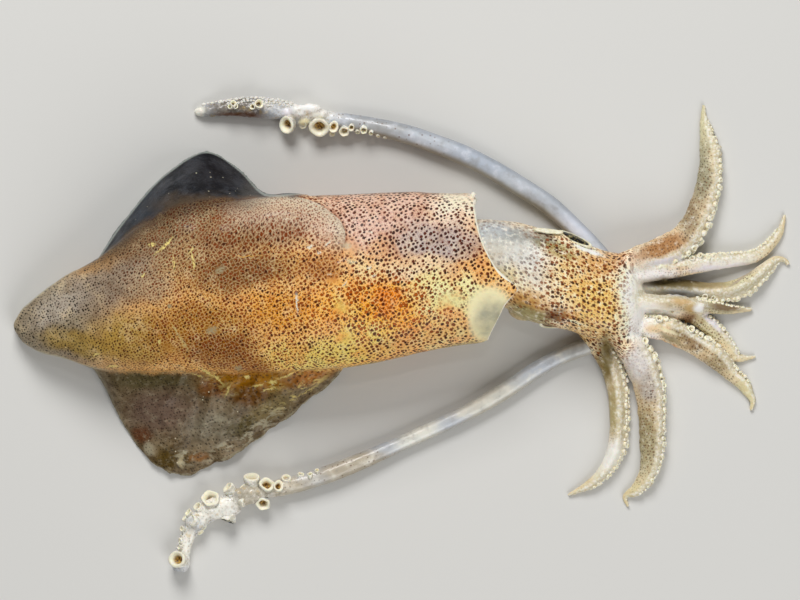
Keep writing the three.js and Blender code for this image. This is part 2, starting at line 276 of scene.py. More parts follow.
def trunk(name, stations, sides):
    """A closed body of oval rings, extruded from station to station along X."""
    x, y, lift, wide, height = stations[0]
    bpy.ops.mesh.primitive_circle_add(
        vertices=sides, radius=MM, fill_type="NGON", rotation=(0, math.pi / 2, 0),
        location=(x * MM, y * MM, (lift + BED * height) * MM),
    )
    piece = bpy.context.object
    piece.name = name
    bpy.ops.object.transform_apply(location=True, rotation=True, scale=True)
    middle = Vector((x, y, lift + BED * height)) * MM
    for corner in piece.data.vertices:
        offset = corner.co - middle
        offset.y = math.copysign(abs(offset.y / MM) ** FULLNESS * wide * MM, offset.y)
        offset.z = math.copysign(abs(offset.z / MM) ** FULLNESS * (1 - BED) * height * MM, offset.z)
        corner.co = middle + offset
    bpy.ops.object.mode_set(mode="EDIT")
    bpy.ops.mesh.select_all(action="SELECT")
    for next_x, next_y, next_lift, next_wide, next_height in stations[1:]:
        target = Vector((next_x, next_y, next_lift + BED * next_height)) * MM
        bpy.ops.mesh.extrude_region_move(TRANSFORM_OT_translate={"value": target - middle})
        bpy.ops.transform.resize(value=(1, next_wide / wide, next_height / height), center_override=target)
        middle, wide, height = target, next_wide, next_height
    close_mesh()
    return piece


mantle = trunk("mantle", [*smooth_stations(MANTLE, MANTLE_RINGS), *COLLAR], MANTLE_SIDES)

# The mantle's front edge lies further ahead on the right. Over the back it reaches out to a small point
RIM_X = 19.9
RIM_BAND = 14  # length over which the mantle's front follows the shape of its edge
RIM_SLANT = 1.9  # how much further the edge reaches on the right than on the left
BACK_ANGLE = 110  # direction of the middle of the back, in degrees round from +Y
RIM_REACHES = [(BACK_ANGLE, 32, 5.4), (107, 8, 3.4), (18, 7, 1.0)]  # angle, spread, reach


def smoothstep(value, start, end):
    share = np.clip((value - start) / (end - start), 0, 1)
    return share * share * (3 - 2 * share)


def corners(piece):
    """The places of a piece's mesh points, in millimetres, as an array."""
    places = np.zeros(len(piece.data.vertices) * 3)
    piece.data.vertices.foreach_get("co", places)
    return places.reshape(-1, 3) / MM


def set_corners(piece, places):
    piece.data.vertices.foreach_set("co", (places * MM).ravel())
    piece.data.update()


def section_angle(places, station):
    """Direction round a trunk's oval section, in radians from +Y over the top."""
    _, y, lift, wide, height = station
    side = (places[:, 1] - y) / wide
    up = (places[:, 2] - lift - BED * height) / ((1 - BED) * height)
    return np.arctan2(up, side)


def rim_reach(angle):
    """How far the mantle's edge lies ahead of RIM_X, in each direction round it, in radians."""
    reach = -RIM_SLANT * np.cos(angle)
    for middle, spread, length in RIM_REACHES:
        reach += length * np.exp(-(((np.degrees(angle) - middle) / spread) ** 2))
    return reach


places = corners(mantle)
band = smoothstep(places[:, 0], RIM_X - RIM_BAND, RIM_X)
places[:, 0] += band * rim_reach(section_angle(places, MANTLE[-1]))
set_corners(mantle, places)

# Each fin is bent over the shoulder from its root to its edge. The left fin's lines run forwards and the
# right fin's run backwards.
FIN_THICKNESS = 2.2
EDGE_SHARE = 0.45  # the edge's thickness as a share of the root's
FIN_RIPPLE = 0.5
FIN_WAVES = 5.5
FIN_COLUMNS = 90
FIN_ROWS = 40
DENSE = 400  # points along a smooth line that is read at any place
# How far the edge is torn in and out, and where along it, from the front for the right fin
TORN = {"left_fin": 0.1, "right_fin": 0.55}
NOTCHES = [(0.5, 41, 1), (0.35, 67, 2), (0.3, 131, 0), (0.25, 197, 0)]  # depth, waves and shift
FINS = {
    "left_fin": {
        "root": [(-80, 11, 11), (-70, 13, 15), (-55, 17, 20), (-38, 19, 23), (-21, 19.5, 24)],
        "shoulder": [(-80, 11, 11), (-70, 21, 15), (-55, 30, 24), (-38, 32, 26.4), (-21, 19.5, 24)],
        "edge": [(-80, 11, 11), (-75.4, 19.8, 4.5), (-68.4, 30, 1.4), (-58, 41.2, 1.2), (-48.6, 46, 1.2),
                 (-40.6, 41.4, 1.4), (-35.8, 36.3, 4), (-32, 34.8, 12), (-24, 34.9, 17.5), (-17, 31.4, 21.6),
                 (-14.4, 25, 24.2), (-21, 19.5, 24)],
    },
    "right_fin": {
        "root": [(-12, -4, 7), (-35, -6, 10), (-55, -6, 9.5), (-70, -4, 8), (-84, 1, 6)],
        "shoulder": [(-12, -4, 7), (-35, -13, 8), (-55, -14, 8), (-70, -11, 7), (-84, 1, 6)],
        "edge": [(-12, -4, 7), (-17, -11, 2.5), (-25.4, -17.8, 1.4), (-34.9, -25.3, 1.2), (-44.1, -30.8, 1.2),
                 (-55, -34.9, 1.2), (-62.4, -32, 1.2), (-69.1, -23.1, 1.2), (-76, -9.5, 2), (-84, 1, 6)],
    },
}


def apply_modifier(piece, kind, **settings):
    bpy.ops.object.select_all(action="DESELECT")
    piece.select_set(True)
    bpy.context.view_layer.objects.active = piece
    modifier = piece.modifiers.new(kind.lower(), kind)
    for name, value in settings.items():
        setattr(modifier, name, value)
    bpy.ops.object.modifier_apply(modifier=modifier.name)


def weigh(piece, name, weights, steps):
    """A vertex group with each point's weight, rounded to one of the steps up to 1."""
    group = piece.vertex_groups.new(name=name)
    for step in range(1, steps + 1):
        group.add(np.flatnonzero(np.round(weights * steps) == step).tolist(), step / steps, "REPLACE")


def fin(name, lines):
    """A flap between the lines, with its thickness."""
    bpy.ops.mesh.primitive_grid_add(x_subdivisions=FIN_COLUMNS, y_subdivisions=FIN_ROWS, size=2)
    piece = bpy.context.object
    piece.name = name
    t, out = (corners(piece)[:, :2].T * MM + 1) / 2
    curves = []
    for line in ("root", "shoulder", "edge"):
        dense = smooth_stations(lines[line], DENSE)
        curves.append(np.stack([np.interp(t, np.linspace(0, 1, DENSE), axis) for axis in dense.T], axis=1))
    torn = TORN[name] * smoothstep(t, 0.05, 0.2) * smoothstep(t, 0.75, 0.6)
    notch = sum(depth * np.sin(waves * t + shift) for depth, waves, shift in NOTCHES)
    curves[2][:, 1] += torn * notch
    out = out[:, None]
    places = (1 - out) ** 2 * curves[0] + 2 * out * (1 - out) * curves[1] + out ** 2 * curves[2]
    places[:, 2] += FIN_RIPPLE * out[:, 0] * np.sin(FIN_WAVES * 2 * math.pi * t)
    # The flesh thins out to the edge, and its underside stays level
    thinness = (1 - EDGE_SHARE) * smoothstep(out[:, 0], 0.55, 1.0)
    places[:, 2] -= FIN_THICKNESS / 2 * thinness
    set_corners(piece, places)
    weigh(piece, "flesh", 1 - thinness, 20)
    apply_modifier(piece, "SOLIDIFY", thickness=FIN_THICKNESS * MM, offset=0, vertex_group="flesh")
    return piece


fins = [fin(name, lines) for name, lines in FINS.items()]
NUB = (17.8, 35.2)  # a shred of skin stands off the far corner of the collar
NUB_RADIUS = 0.75
MANTLE_VOXEL = 0.45


def join(first, *others):
    """Makes one object of several."""
    bpy.ops.object.select_all(action="DESELECT")
    for piece in (first, *others):
        piece.select_set(True)
    bpy.context.view_layer.objects.active = first
    bpy.ops.object.join()
    return first


def ball(place, radius=1.0, stretch=(1, 1, 1), segments=24, rings=16):
    """A stretched sphere at a place, in millimetres."""
    location = [axis * MM for axis in place]
    bpy.ops.mesh.primitive_uv_sphere_add(
        segments=segments, ring_count=rings, radius=radius * MM, location=location
    )
    piece = bpy.context.object
    piece.scale = stretch
    bpy.ops.object.transform_apply(location=True, rotation=True, scale=True)
    return piece


def roughen(piece, name, size, height, **limits):
    """Moves the surface in and out by a soft noise, with its size and height in millimetres."""
    texture = bpy.data.textures.new(name, "CLOUDS")
    texture.noise_scale = size * MM
    texture.noise_depth = 1
    apply_modifier(piece, "DISPLACE", texture=texture, strength=height * MM, texture_coords="LOCAL", **limits)


def lay_down(piece):
    """Whatever would reach under the table lies flat on it."""
    places = corners(piece)
    places[:, 2] = np.maximum(places[:, 2], 0)
    set_corners(piece, places)


places = corners(mantle)
near = np.hypot(places[:, 0] - NUB[0], places[:, 1] - NUB[1]) < 2 * NUB_RADIUS
nub = ball((*NUB, places[near, 2].max()), NUB_RADIUS, segments=16, rings=10)
join(mantle, *fins, nub)
apply_modifier(mantle, "REMESH", mode="VOXEL", voxel_size=MANTLE_VOXEL * MM, use_smooth_shade=True)
apply_modifier(mantle, "SMOOTH", factor=0.5, iterations=4)
roughen(mantle, "muscle", 13, 0.7)
roughen(mantle, "creases", 3, 0.16)

# The right fin's skin is folded, most of all near its root and its edge
FOLD_HEIGHT = 0.9
folds = bpy.data.textures.new("folds", "MUSGRAVE")
folds.musgrave_type = "RIDGED_MULTIFRACTAL"
folds.noise_scale = 5 * MM
places = corners(mantle)
loose = smoothstep(places[:, 1], -7, -10) * smoothstep(places[:, 0], -66, -56)
loose *= smoothstep(places[:, 2], 0.8, 1.6)
weigh(mantle, "in_folds", loose, 10)
apply_modifier(mantle, "DISPLACE", texture=folds, strength=FOLD_HEIGHT * MM, mid_level=0.3,
               texture_coords="LOCAL", vertex_group="in_folds", direction="Z")
apply_modifier(mantle, "SMOOTH", factor=0.5, iterations=1)

# The front lobe of the left fin lies on the back as a low step
LOBE_HEIGHT = 0.7
LOBE_EDGE = [
    (-38, 34, 0), (-34, 34.6, 0), (-29, 34.9, 0), (-22.9, 33.7, 0), (-17.9, 31, 0), (-14.9, 28, 0),
    (-13.9, 24.9, 0), (-14.6, 21, 0), (-17, 17, 0), (-20, 13, 0),
]


def inside_line(places, line):
    """Distance of each place to the right of a line, seen from above, or less than 0 to its left."""
    points = smooth_stations(line, 160)[:, :2]
    course = np.gradient(points, axis=0)
    nearest = np.full(len(places), 99.0)
    signed = np.full(len(places), -99.0)
    for point, step in zip(points, course):
        offset = places[:, :2] - point
        away = np.hypot(*offset.T)
        side = offset[:, 1] * step[0] - offset[:, 0] * step[1]
        closer = away < nearest
        nearest = np.where(closer, away, nearest)
        signed = np.where(closer, np.where(side < 0, away, -away), signed)
    return signed


places = corners(mantle)
in_lobe = inside_line(places, LOBE_EDGE)
in_lobe[(places[:, 2] < 14) | (places[:, 0] > 0)] = -20
step = smoothstep(in_lobe, -0.3, 0.35) * smoothstep(in_lobe, 9, 3) * smoothstep(places[:, 2], 14, 17)
step *= smoothstep(places[:, 1], 18, 25)
places[:, 2] += LOBE_HEIGHT * step
set_corners(mantle, places)
lay_down(mantle)

# The skin's own measure, for its spots: cells along the body and round it from the middle of the back. The
# spots lie closer together towards the tail.
TAIL_PITCH = 0.62
FRONT_PITCH = 1.08
SPOT_TURN = 27  # so that no row of spots follows the body


def unroll(places, stations, pitch):
    """Cells along and round a trunk, with its distance outwards and its distance beyond the outline."""
    dense = smooth_stations(stations, DENSE)
    x = places[:, 0]
    y, lift, wide, height = (np.interp(x, dense[:, 0], column) for column in dense[:, 1:].T)
    high = (1 - BED) * height
    angle = section_angle(places, (x, y, lift, wide, height))
    turn = np.mod(angle - math.radians(BACK_ANGLE) + math.pi, 2 * math.pi) - math.pi
    angles = np.linspace(-math.pi, math.pi, 361) + math.radians(BACK_ANGLE)
    flatness = np.mean(high / wide)
    arc = np.cumsum(np.hypot(np.sin(angles), flatness * np.cos(angles))) * math.radians(1)
    arc -= np.interp(math.radians(BACK_ANGLE), angles, arc)
    beyond = np.abs(places[:, 1] - y) - wide
    girth = wide * np.interp(turn + math.radians(BACK_ANGLE), angles, arc)
    girth += np.sign(turn) * np.maximum(beyond, 0)
    share = np.hypot((places[:, 1] - y) / wide, (places[:, 2] - lift - BED * height) / high)
    outward = (share - 1) * (wide + high) / 2
    line = np.linspace(x.min(), x.max(), DENSE)
    cells = np.concatenate([[0], np.cumsum(np.diff(line) / pitch(line[1:]))])
    return np.stack([np.interp(x, line, cells), girth / pitch(x), outward, beyond, angle], axis=1)


def keep(piece, name, values):
    """Stores three numbers for each mesh point, for the piece's material."""
    store = piece.data.attributes.new(name, "FLOAT_VECTOR", "POINT")
    store.data.foreach_set("vector", np.ascontiguousarray(values, dtype=np.float32).ravel())


def distance_to(places, line):
    """Distance of each place from a line, seen from above."""
    points = smooth_stations(line, 200)
    nearest = np.full(len(places), 99.0)
    for x, y, _ in points:
        nearest = np.minimum(nearest, np.hypot(places[:, 0] - x, places[:, 1] - y))
    return nearest


def mantle_pitch(x):
    return TAIL_PITCH + (FRONT_PITCH - TAIL_PITCH) * smoothstep(x, -85, -10)


places = corners(mantle)
measure = unroll(places, MANTLE, mantle_pitch)
behind_edge = RIM_X + rim_reach(measure[:, 4]) - places[:, 0]
inside_fin = np.minimum(*(distance_to(places, lines["edge"]) for lines in FINS.values()))
turn = math.radians(SPOT_TURN)
cell_x = measure[:, 0] * math.cos(turn) - measure[:, 1] * math.sin(turn)
cell_y = measure[:, 0] * math.sin(turn) + measure[:, 1] * math.cos(turn)
keep(mantle, "cells", np.stack([cell_x, cell_y, behind_edge], axis=1))
keep(mantle, "zones", np.stack([measure[:, 2], measure[:, 3], inside_fin], axis=1))
keep(mantle, "lobe", np.stack([in_lobe] * 3, axis=1))

# Colour organs lie in the skin: round spots of many sizes, evenly spread
SPOT_SCATTER = {"randomness": 0.8, "dimensions": "2D"}
PALEST = (0.98, 0.95, 0.9)  # the skin between the spots gets no paler


def loosened(paint, cells, spacing):
    """The skin's cells, pushed about so that the spots in them aren't quite round."""
    wobble = paint.vector("SUBTRACT", paint.noise(cells, 1.6 * spacing, 1.0, output="Color"), (0.5, 0.5, 0.5))
    return paint.vector("ADD", cells, paint.vector("MULTIPLY", wobble, (0.3 * spacing,) * 3))


def spots(paint, cells, spacing, smallest, largest, power=1.3):
    """The spots' cover, two numbers for each, and the distance over its radius.

    The radii are shares of the spacing.
    """
    cell = paint.cells(loosened(paint, cells, spacing), spacing, **SPOT_SCATTER)
    chance = paint.chance(cell)
    reach = cell / (smallest + (largest - smallest) * chance ** power)
    return reach.rise(1.12, 0.84), chance, chance.part("Green"), reach


def tinted(paint, where, ground, patches):
    """The ground with soft patches of other colours, seen from above."""
    for x, y, half_long, half_wide, tint, strength, *turned in patches:
        cover = paint.patch(where, x, y, half_long, half_wide, *turned) * strength
        ground = paint.mix(cover, ground, tint)
    return ground


def lit(paint, ground, factor):
    """The ground as it is between the spots, paler than the colour of both together."""
    scale = paint.add("ShaderNodeCombineXYZ", {}, {"X": factor, "Y": factor, "Z": factor})
    return paint.vector("MINIMUM", paint.vector("MULTIPLY", ground, scale), PALEST)


def drifted(paint, where, size, reach):
    """Places pushed about by a soft noise, so that patches end unevenly."""
    drift = paint.vector("SUBTRACT", paint.noise(where, size * MM, 2.0, output="Color"), (0.5, 0.5, 0.5))
    return paint.vector("ADD", where, paint.vector("MULTIPLY", drift, (reach * MM,) * 3))


def cover_of(paint, where, patches):
    """How much of a place is covered by soft patches, each x, y, half length, half width and strength."""
    clear = 1
    for x, y, half_long, half_wide, strength, *turned in patches:
        clear = clear * (1 - paint.patch(where, x, y, half_long, half_wide, *turned) * strength)
    return 1 - clear


FLESH_IOR = 1.38


def coat(piece, paint):
    """Gives the whole piece one material."""
    piece.data.materials.clear()
    piece.data.materials.append(paint.material)
    piece.data.polygons.foreach_set("material_index", np.zeros(len(piece.data.polygons), np.int32))


skin = Paint("mantle_skin")
where = skin.place()
cells = skin.attribute("cells")
behind_edge = skin.axis(cells, "Z")
outward = skin.axis(skin.attribute("zones"), "X")
beyond = outward.part("Y")
inside_fin = outward.part("Z")
uneven = drifted(skin, where, 7, 7)

# The flesh shows through the skin: x, y, half length, half width of a soft patch, its colour and strength,
# and where it is turned, by how many degrees
FLESH = (222, 172, 98)
PATCHES = [
    (-2, 38, 36, 26, (208, 180, 164), 1.0),  # pale flank over the shoulder
    (-52, 26, 34, 14, (136, 108, 74), 0.9, 16),
    (-94, 3, 38, 28, (146, 138, 118), 1.0),  # grey tail
    (-84, 8, 15, 5, (176, 172, 162), 0.85, 32),
    (-80, -2, 15, 4, (158, 136, 74), 0.95, -12),
    (-67, -1, 15, 9, (164, 136, 58), 0.95),  # olive gold
    (-70, 14, 18, 8, (138, 128, 114), 0.95, 32),
    (-62, 12, 10, 6, (156, 138, 112), 0.85),
    (-53, 20, 13, 6, (162, 136, 92), 0.9, 20),
    (-60, 26, 24, 7, (112, 94, 68), 0.9, 18),  # painted shade on the flank under the left fin
    (-40, 26, 18, 7, (130, 98, 64), 0.9, 8),
    (-28, 27, 10, 8, (158, 132, 106), 0.95),
    (-40, 16, 20, 8, (112, 76, 32), 0.95, 8),  # red brown back
    (-50, 1, 20, 11, (160, 114, 30), 0.95),  # dark gold over the gut
    (-44, -3, 12, 6, (136, 86, 4), 0.95),
    (-30, 6, 13, 8, (206, 144, 40), 0.95),
    (-35, -8, 10, 5, (154, 102, 8), 0.95),
    (-24, -5, 14, 7, (244, 206, 106), 0.95),
    (-20, 17, 9, 5, (166, 112, 54), 0.85),
    (-4, 7, 25, 10, (236, 164, 46), 1.0, 2),  # bright gold
    (-3, 9, 6, 4, (228, 138, 26), 0.8),
    (-14, 6.5, 4, 6, (238, 196, 104), 0.9),
    (-12, -3, 16, 7, (244, 200, 98), 1.0, 8),
    (4, -2, 13, 5, (230, 172, 98), 0.9, 10),
    (-4, 28, 26, 10, (208, 178, 166), 0.95, -3),  # pink shoulder
    (-4, 22, 6, 4, (200, 150, 106), 0.85),
    (9, 23, 16, 8, (172, 162, 162), 1.0, -6),  # violet grey
    (15, 33, 11, 7, (232, 222, 204), 0.95),
    (4, 16.5, 15, 4, (226, 204, 170), 0.95),
    (-10, 16, 6, 4, (236, 196, 142), 0.85),
    (13, 10.5, 16, 7, (246, 226, 164), 1.0, -4),  # cream by the edge
    (18, 17.5, 5, 2, (226, 168, 96), 0.7),
    (10, 3, 9, 4, (236, 188, 116), 0.85, 10),
    (14, -1.5, 12, 3.5, (244, 204, 140), 0.95, 12),
]
# Bare places with few spots: x, y, half length, half width, strength
MANTLE_BARE = [
    (-12, 22, 3, 2.5, 0.8), (-45, 16.4, 1.8, 1.4, 1.0), (-47, 1.4, 2, 1.4, 1.0), (-33, 4, 4, 3, 0.2),
    (-15, 7, 3, 2.4, 0.8), (-14, 0, 3, 2.4, 0.7), (-17, 13.5, 2.4, 2, 0.8), (12, 9, 5, 3, 0.8),
    (21.6, 5.6, 7.2, 9, 1.0), (-58, -3, 3, 2, 0.6), (15, 35, 6, 3, 0.7),
]
ground = tinted(skin, uneven, FLESH, PATCHES)
mottle = skin.noise(where, 3.5 * MM, 5.0, 0.6)
blotch = skin.noise(where, 6 * MM, 2.0)
ground = skin.mix(mottle.rise(0.5, 0.72) * 0.3, ground, (238, 222, 180))
forward = skin.axis(where, "X") / MM
tail = forward.rise(-52, -84)
golden = 1 - forward.rise(-46, -74) * 0.8
ground = skin.mix(mottle.rise(0.52, 0.3) * golden * 0.4, ground, (206, 140, 84), "MULTIPLY")
ground = skin.mix(blotch.rise(0.5, 0.64) * golden * 0.3, ground, (210, 158, 104), "MULTIPLY")
ground = skin.mix(mottle.rise(0.5, 0.3) * (1 - golden) * 0.5, ground, (168, 158, 138), "MULTIPLY")

# The front lobe of the left fin lies on the back. Its skin is greyer and its edge is a fine pale line
bare = cover_of(skin, drifted(skin, where, 3, 3), MANTLE_BARE)
clear = 1 - bare
in_lobe = skin.axis(skin.attribute("lobe"), "X")
side = skin.axis(where, "Y") / MM
in_front = side.rise(19, 26)
lobe = in_lobe.rise(-0.1, 0.15) * in_front
ground = skin.mix(lobe * in_lobe.rise(10, 4) * 0.7, ground, (186, 166, 148))
ground = skin.mix(lobe * in_lobe.rise(4.2, 0.8) * 0.8, ground, (190, 182, 164))

# The spots are smaller over the tail, and the skin between them is a faint pale net
gold = skin.patch(where, -6, 7, 27, 12)
back = forward.rise(-8, -22)
back_power = back * 1.2 + tail * 0.6 + 1.2
large, large_chance, large_kind, large_reach = spots(skin, cells, 1.0, 0.19, 0.41 + gold * 0.06, back_power)
small, _, small_kind, _ = spots(skin, cells, 0.6, 0.17, 0.4)
border = skin.cells(loosened(skin, cells, 1.0), 1.0, feature="DISTANCE_TO_EDGE", **SPOT_SCATTER)
net = border.rise(0.17, 0.05)
large = large * (1 - lobe * in_lobe.rise(8, 4) * large_chance.rise(0.2, 0.4))
ground = lit(skin, ground, 1.32 - tail * 0.04)
cell_flesh = skin.mix(0.3, ground, (212, 168, 122), "MULTIPLY")
ground = skin.mix(net * clear * (1 - tail) * 0.75, cell_flesh, skin.mix(0.3, ground, (250, 230, 180)))
shoulder_dark = skin.mix(large_kind.rise(0.3, 0.7), (56, 22, 14), (92, 38, 20))
back_dark = skin.mix(large_kind.rise(0.2, 0.6), (70, 30, 10), (126, 58, 20))
dark = skin.mix(back, shoulder_dark, back_dark)
dark = skin.mix(tail, dark, skin.mix(large_chance.rise(0.7, 0.9), (66, 52, 36), (34, 24, 16)))
browned = skin.mix(large_kind.rise(0.3, 0.7), (96, 36, 4), (150, 64, 6))
dark = skin.mix(gold * (1 - large_kind.part("Blue").rise(0.75, 0.8)), dark, browned)
warm = large_reach.rise(0.95, 0.2) * gold * large_kind.rise(0.3, 0.6)
dark = skin.mix(warm * 0.7, dark, (198, 98, 14))
fine = skin.mix(small_kind, (84, 34, 18), (150, 72, 28))
front = forward.rise(-24, -6) * (1 - gold)
spotted = skin.mix(small * clear * (1 - tail) * (1 - front * 0.6) * 0.8, ground, fine)
spotted = skin.mix(large * clear * 0.97, spotted, dark)
collar_patch = skin.patch(drifted(skin, where, 3, 1.6), 21.8, 5.2, 6.6, 8.6, soft=0.35)
glassy = skin.patch(drifted(skin, where, 4, 3), 22.4, 4.2, 6, 7) * (mottle.rise(0.35, 0.65) * 0.4 + 0.6)
bare_flesh = skin.mix(glassy, (248, 238, 190), (174, 174, 150))
spotted = skin.mix(collar_patch * 0.95, spotted, bare_flesh)
rim_shadow = in_lobe.rise(-1.1, -0.1) * (1 - lobe) * in_front
spotted = skin.mix(rim_shadow * 0.5, spotted, (176, 124, 90), "MULTIPLY")
lobe_edge = in_lobe.rise(-0.15, 0.05) * in_lobe.rise(0.5, 0.25) * in_front * mottle.rise(0.4, 0.6)
spotted = skin.mix(lobe_edge * 0.32, spotted, (232, 218, 198))

# Torn shreds and scratches, dry yellow or white, and painted white glints on the wet skin: x, y, half length,
# half width, colour, strength, turn
YELLOW = (240, 222, 136)
WHITE = (236, 230, 210)
DULL = (164, 150, 116)
SHREDS_AND_GLINTS = [
    (-58.2, 22.8, 3.0, 0.4, YELLOW, 1.0, 49), (-61.9, 22.7, 1.2, 0.6, YELLOW, 1.0),
    (-60, 21.4, 3, 0.25, YELLOW, 0.7, 40), (-56.4, 18, 2.6, 0.3, YELLOW, 0.8, 96),
    (-51.6, 18.6, 2.8, 0.35, YELLOW, 0.95, 100), (-52.2, 21, 1.6, 0.3, YELLOW, 0.7, 60),
    (-63.9, 15.2, 0.9, 0.4, YELLOW, 0.8, 60), (-38, 19.7, 5, 0.2, (226, 170, 70), 0.8, 2),
    (-25.9, 8.3, 3.4, 0.4, WHITE, 0.9, 90), (-56, 1.4, 2.6, 0.5, (206, 182, 120), 0.8, 122),
    (-54, -2, 3, 0.5, (206, 182, 120), 0.8, 118), (-44.9, 16.4, 1.8, 1.2, DULL, 0.9, 30),
    (-46.9, 1.4, 2.1, 1.3, DULL, 0.9, 10), (-57.4, 7.4, 0.8, 0.7, DULL, 0.8),
    (-22.4, 22, 1.2, 0.4, WHITE, 0.9, 20), (-18.4, 22.8, 1.5, 0.35, WHITE, 0.85, 35),
    (-20.4, 20.6, 0.9, 0.3, WHITE, 0.8), (-13.6, 22.4, 1.6, 1.2, (206, 190, 160), 0.8),
    (-12.4, 18.4, 1.4, 1, (186, 176, 130), 0.8), (-8, 17, 1.0, 0.35, WHITE, 0.8, 10),
    (-17.8, 15.4, 0.9, 0.3, WHITE, 0.8, 30), (-7, 14.8, 1.0, 0.3, WHITE, 0.8, 20),
    (-7.6, 25.6, 0.7, 0.35, WHITE, 0.8), (-14, 13, 1.6, 0.3, WHITE, 0.6, 60),
    (-49, -8.6, 2.2, 0.3, YELLOW, 0.8, 150), (-76, -4.6, 1.2, 0.3, YELLOW, 0.7, 20),
    (-72, -7.6, 2, 0.25, YELLOW, 0.7, 5), (-60, -1.6, 1, 0.35, YELLOW, 0.8, 80),
    (-45.5, -11, 3.2, 0.4, YELLOW, 0.8, 128), (-40.6, -8, 1.6, 0.9, DULL, 0.8, 5),
    (-38.6, -10.4, 0.8, 0.5, YELLOW, 1.0), (-47.4, -9.6, 2.4, 0.4, YELLOW, 0.7, 160),
    (-33, -13.4, 3, 0.3, YELLOW, 0.9, 14), (-32, -11.6, 1.4, 0.7, YELLOW, 1.0),
    (-28.6, -10, 3.2, 0.35, YELLOW, 0.8, 24), (-26, -5.6, 2.6, 0.3, YELLOW, 0.6, 80),
    (-36, -12.4, 2.4, 0.25, YELLOW, 0.7, 10), (-43.4, -13.6, 2.4, 0.4, YELLOW, 0.6, 70),
    (-51, -9.8, 2.2, 0.35, YELLOW, 0.6, 165),
]
# Where the shreds and the painted glints lie, pushed about so that they end unevenly
shred_and_glint_places = drifted(skin, where, 0.9, 1.5)
broken = skin.noise(where, 0.45 * MM, 2.0).rise(0.34, 0.46)
spotted = skin.mix(broken, spotted, tinted(skin, shred_and_glint_places, spotted, SHREDS_AND_GLINTS))

# The fins are thin, so they look dark and glassy, with a pale rim. The right one is torn and folded
FIN_PATCHES = [
    (-38, -11, 17, 5, (166, 112, 6), 1.0), (-37, -15, 9, 3.5, (112, 68, 0), 0.9),
    (-47, -13, 5, 3, (124, 70, 10), 0.8), (-22, -9, 9, 4, (184, 116, 44), 0.9, 24),
    (-62, -11, 15, 4, (94, 84, 50), 0.9), (-60, -19, 13, 8, (112, 90, 76), 0.9),
    (-47, -23, 12, 6, (124, 114, 94), 0.85), (-65, -25, 4, 3, (96, 46, 10), 0.8),
    (-58, -31, 7, 5, (84, 64, 14), 0.9), (-63.4, -28.4, 2.2, 2.4, (170, 160, 134), 0.8),
    (-51, -30.6, 4, 1.2, (136, 84, 24), 0.7, 12), (-55.2, -31.6, 0.9, 2.4, (200, 186, 148), 0.8),
    (-33, -18, 10, 4, (132, 114, 72), 0.85, 32), (-40, -23, 6, 3, (84, 72, 32), 0.8, 40),
    (-64, 32, 7, 12, (40, 50, 62), 0.6, 50), (-46, 41, 12, 6, (34, 30, 32), 0.5),
    (-50, 32.4, 17, 4.4, (84, 68, 50), 0.8), (-37.5, 37, 3.4, 6, (70, 66, 62), 0.7, -20),
]
# Where thin skin lies in pale folds: x, y, half length, half width, strength and turn
FOLDED = [
    (-45, -12, 6, 3, 0.7, -30), (-29, -11, 8, 3, 0.7, 25), (-41, -26.5, 15, 3, 1.0, 28),
    (-24, -13, 9, 2.5, 1.0, 34), (-33, -20, 9, 4, 0.9, 36), (-54, -30.5, 4, 3, 1.0), (-46, -22, 6, 4, 0.6),
]
fin_tone = skin.noise(where, 5 * MM, 5.0, 0.65)
right = side.rise(8, 0)
left_flesh = skin.mix(fin_tone.rise(0.38, 0.62), (8, 12, 20), (58, 60, 66))
right_flesh = skin.mix(fin_tone.rise(0.35, 0.65), (98, 80, 54), (140, 122, 94))
fin_flesh = skin.mix(right, left_flesh, right_flesh)
fin_flesh = tinted(skin, drifted(skin, where, 4, 3), fin_flesh, FIN_PATCHES)
fin_cloud = skin.noise(where, 1.6 * MM, 4.0, 0.7)
fin_flesh = skin.mix(fin_cloud.rise(0.5, 0.72) * right * 0.4, fin_flesh, (176, 164, 136))
fin_flesh = skin.mix(fin_cloud.rise(0.5, 0.28) * 0.5, fin_flesh, (116, 100, 80), "MULTIPLY")
fin_dots = large * large_kind.rise(0.3, 0.5) * right + small * (1 - right) * 0.4
fin_skin = skin.mix(fin_dots * 0.62, fin_flesh, (34, 24, 14))
slanted = {"Vector": where, "Rotation": (0, 0, math.radians(-50)), "Scale": (0.4, 1, 1)}
crease = skin.noise(skin.add("ShaderNodeMapping", {"vector_type": "POINT"}, slanted), 1.5 * MM, 4.0, 0.65)
fold = crease.rise(0.5, 0.62) * cover_of(skin, where, FOLDED)
fold_colour = skin.mix(side.rise(-16, -20), (238, 214, 130), (186, 178, 152))
fin_skin = skin.mix(fold * 0.7, fin_skin, fold_colour)
fin_skin = skin.mix(broken, fin_skin, tinted(skin, shred_and_glint_places, fin_skin, SHREDS_AND_GLINTS))
fin_rim = skin.mix(right, (150, 156, 150), (158, 150, 124))
at_rim = inside_fin.rise(0.5, 0.15) * (fin_cloud.rise(0.3, 0.6) * right + 1 - right)
fin_skin = skin.mix(at_rim * 0.85, fin_skin, fin_rim)
grain = skin.cells(where, 1.7 * MM)
speckled = skin.noise(where, 8 * MM).rise(0.4, 0.55)
speck = grain.rise(0.13, 0.08) * skin.chance(grain).rise(0.66, 0.7) * speckled
fin_skin = skin.mix(speck * 0.9, fin_skin, (236, 226, 196))
spotted = skin.mix(speck * forward.rise(-16, -34) * side.rise(6, -2) * 0.9, spotted, (250, 226, 150))
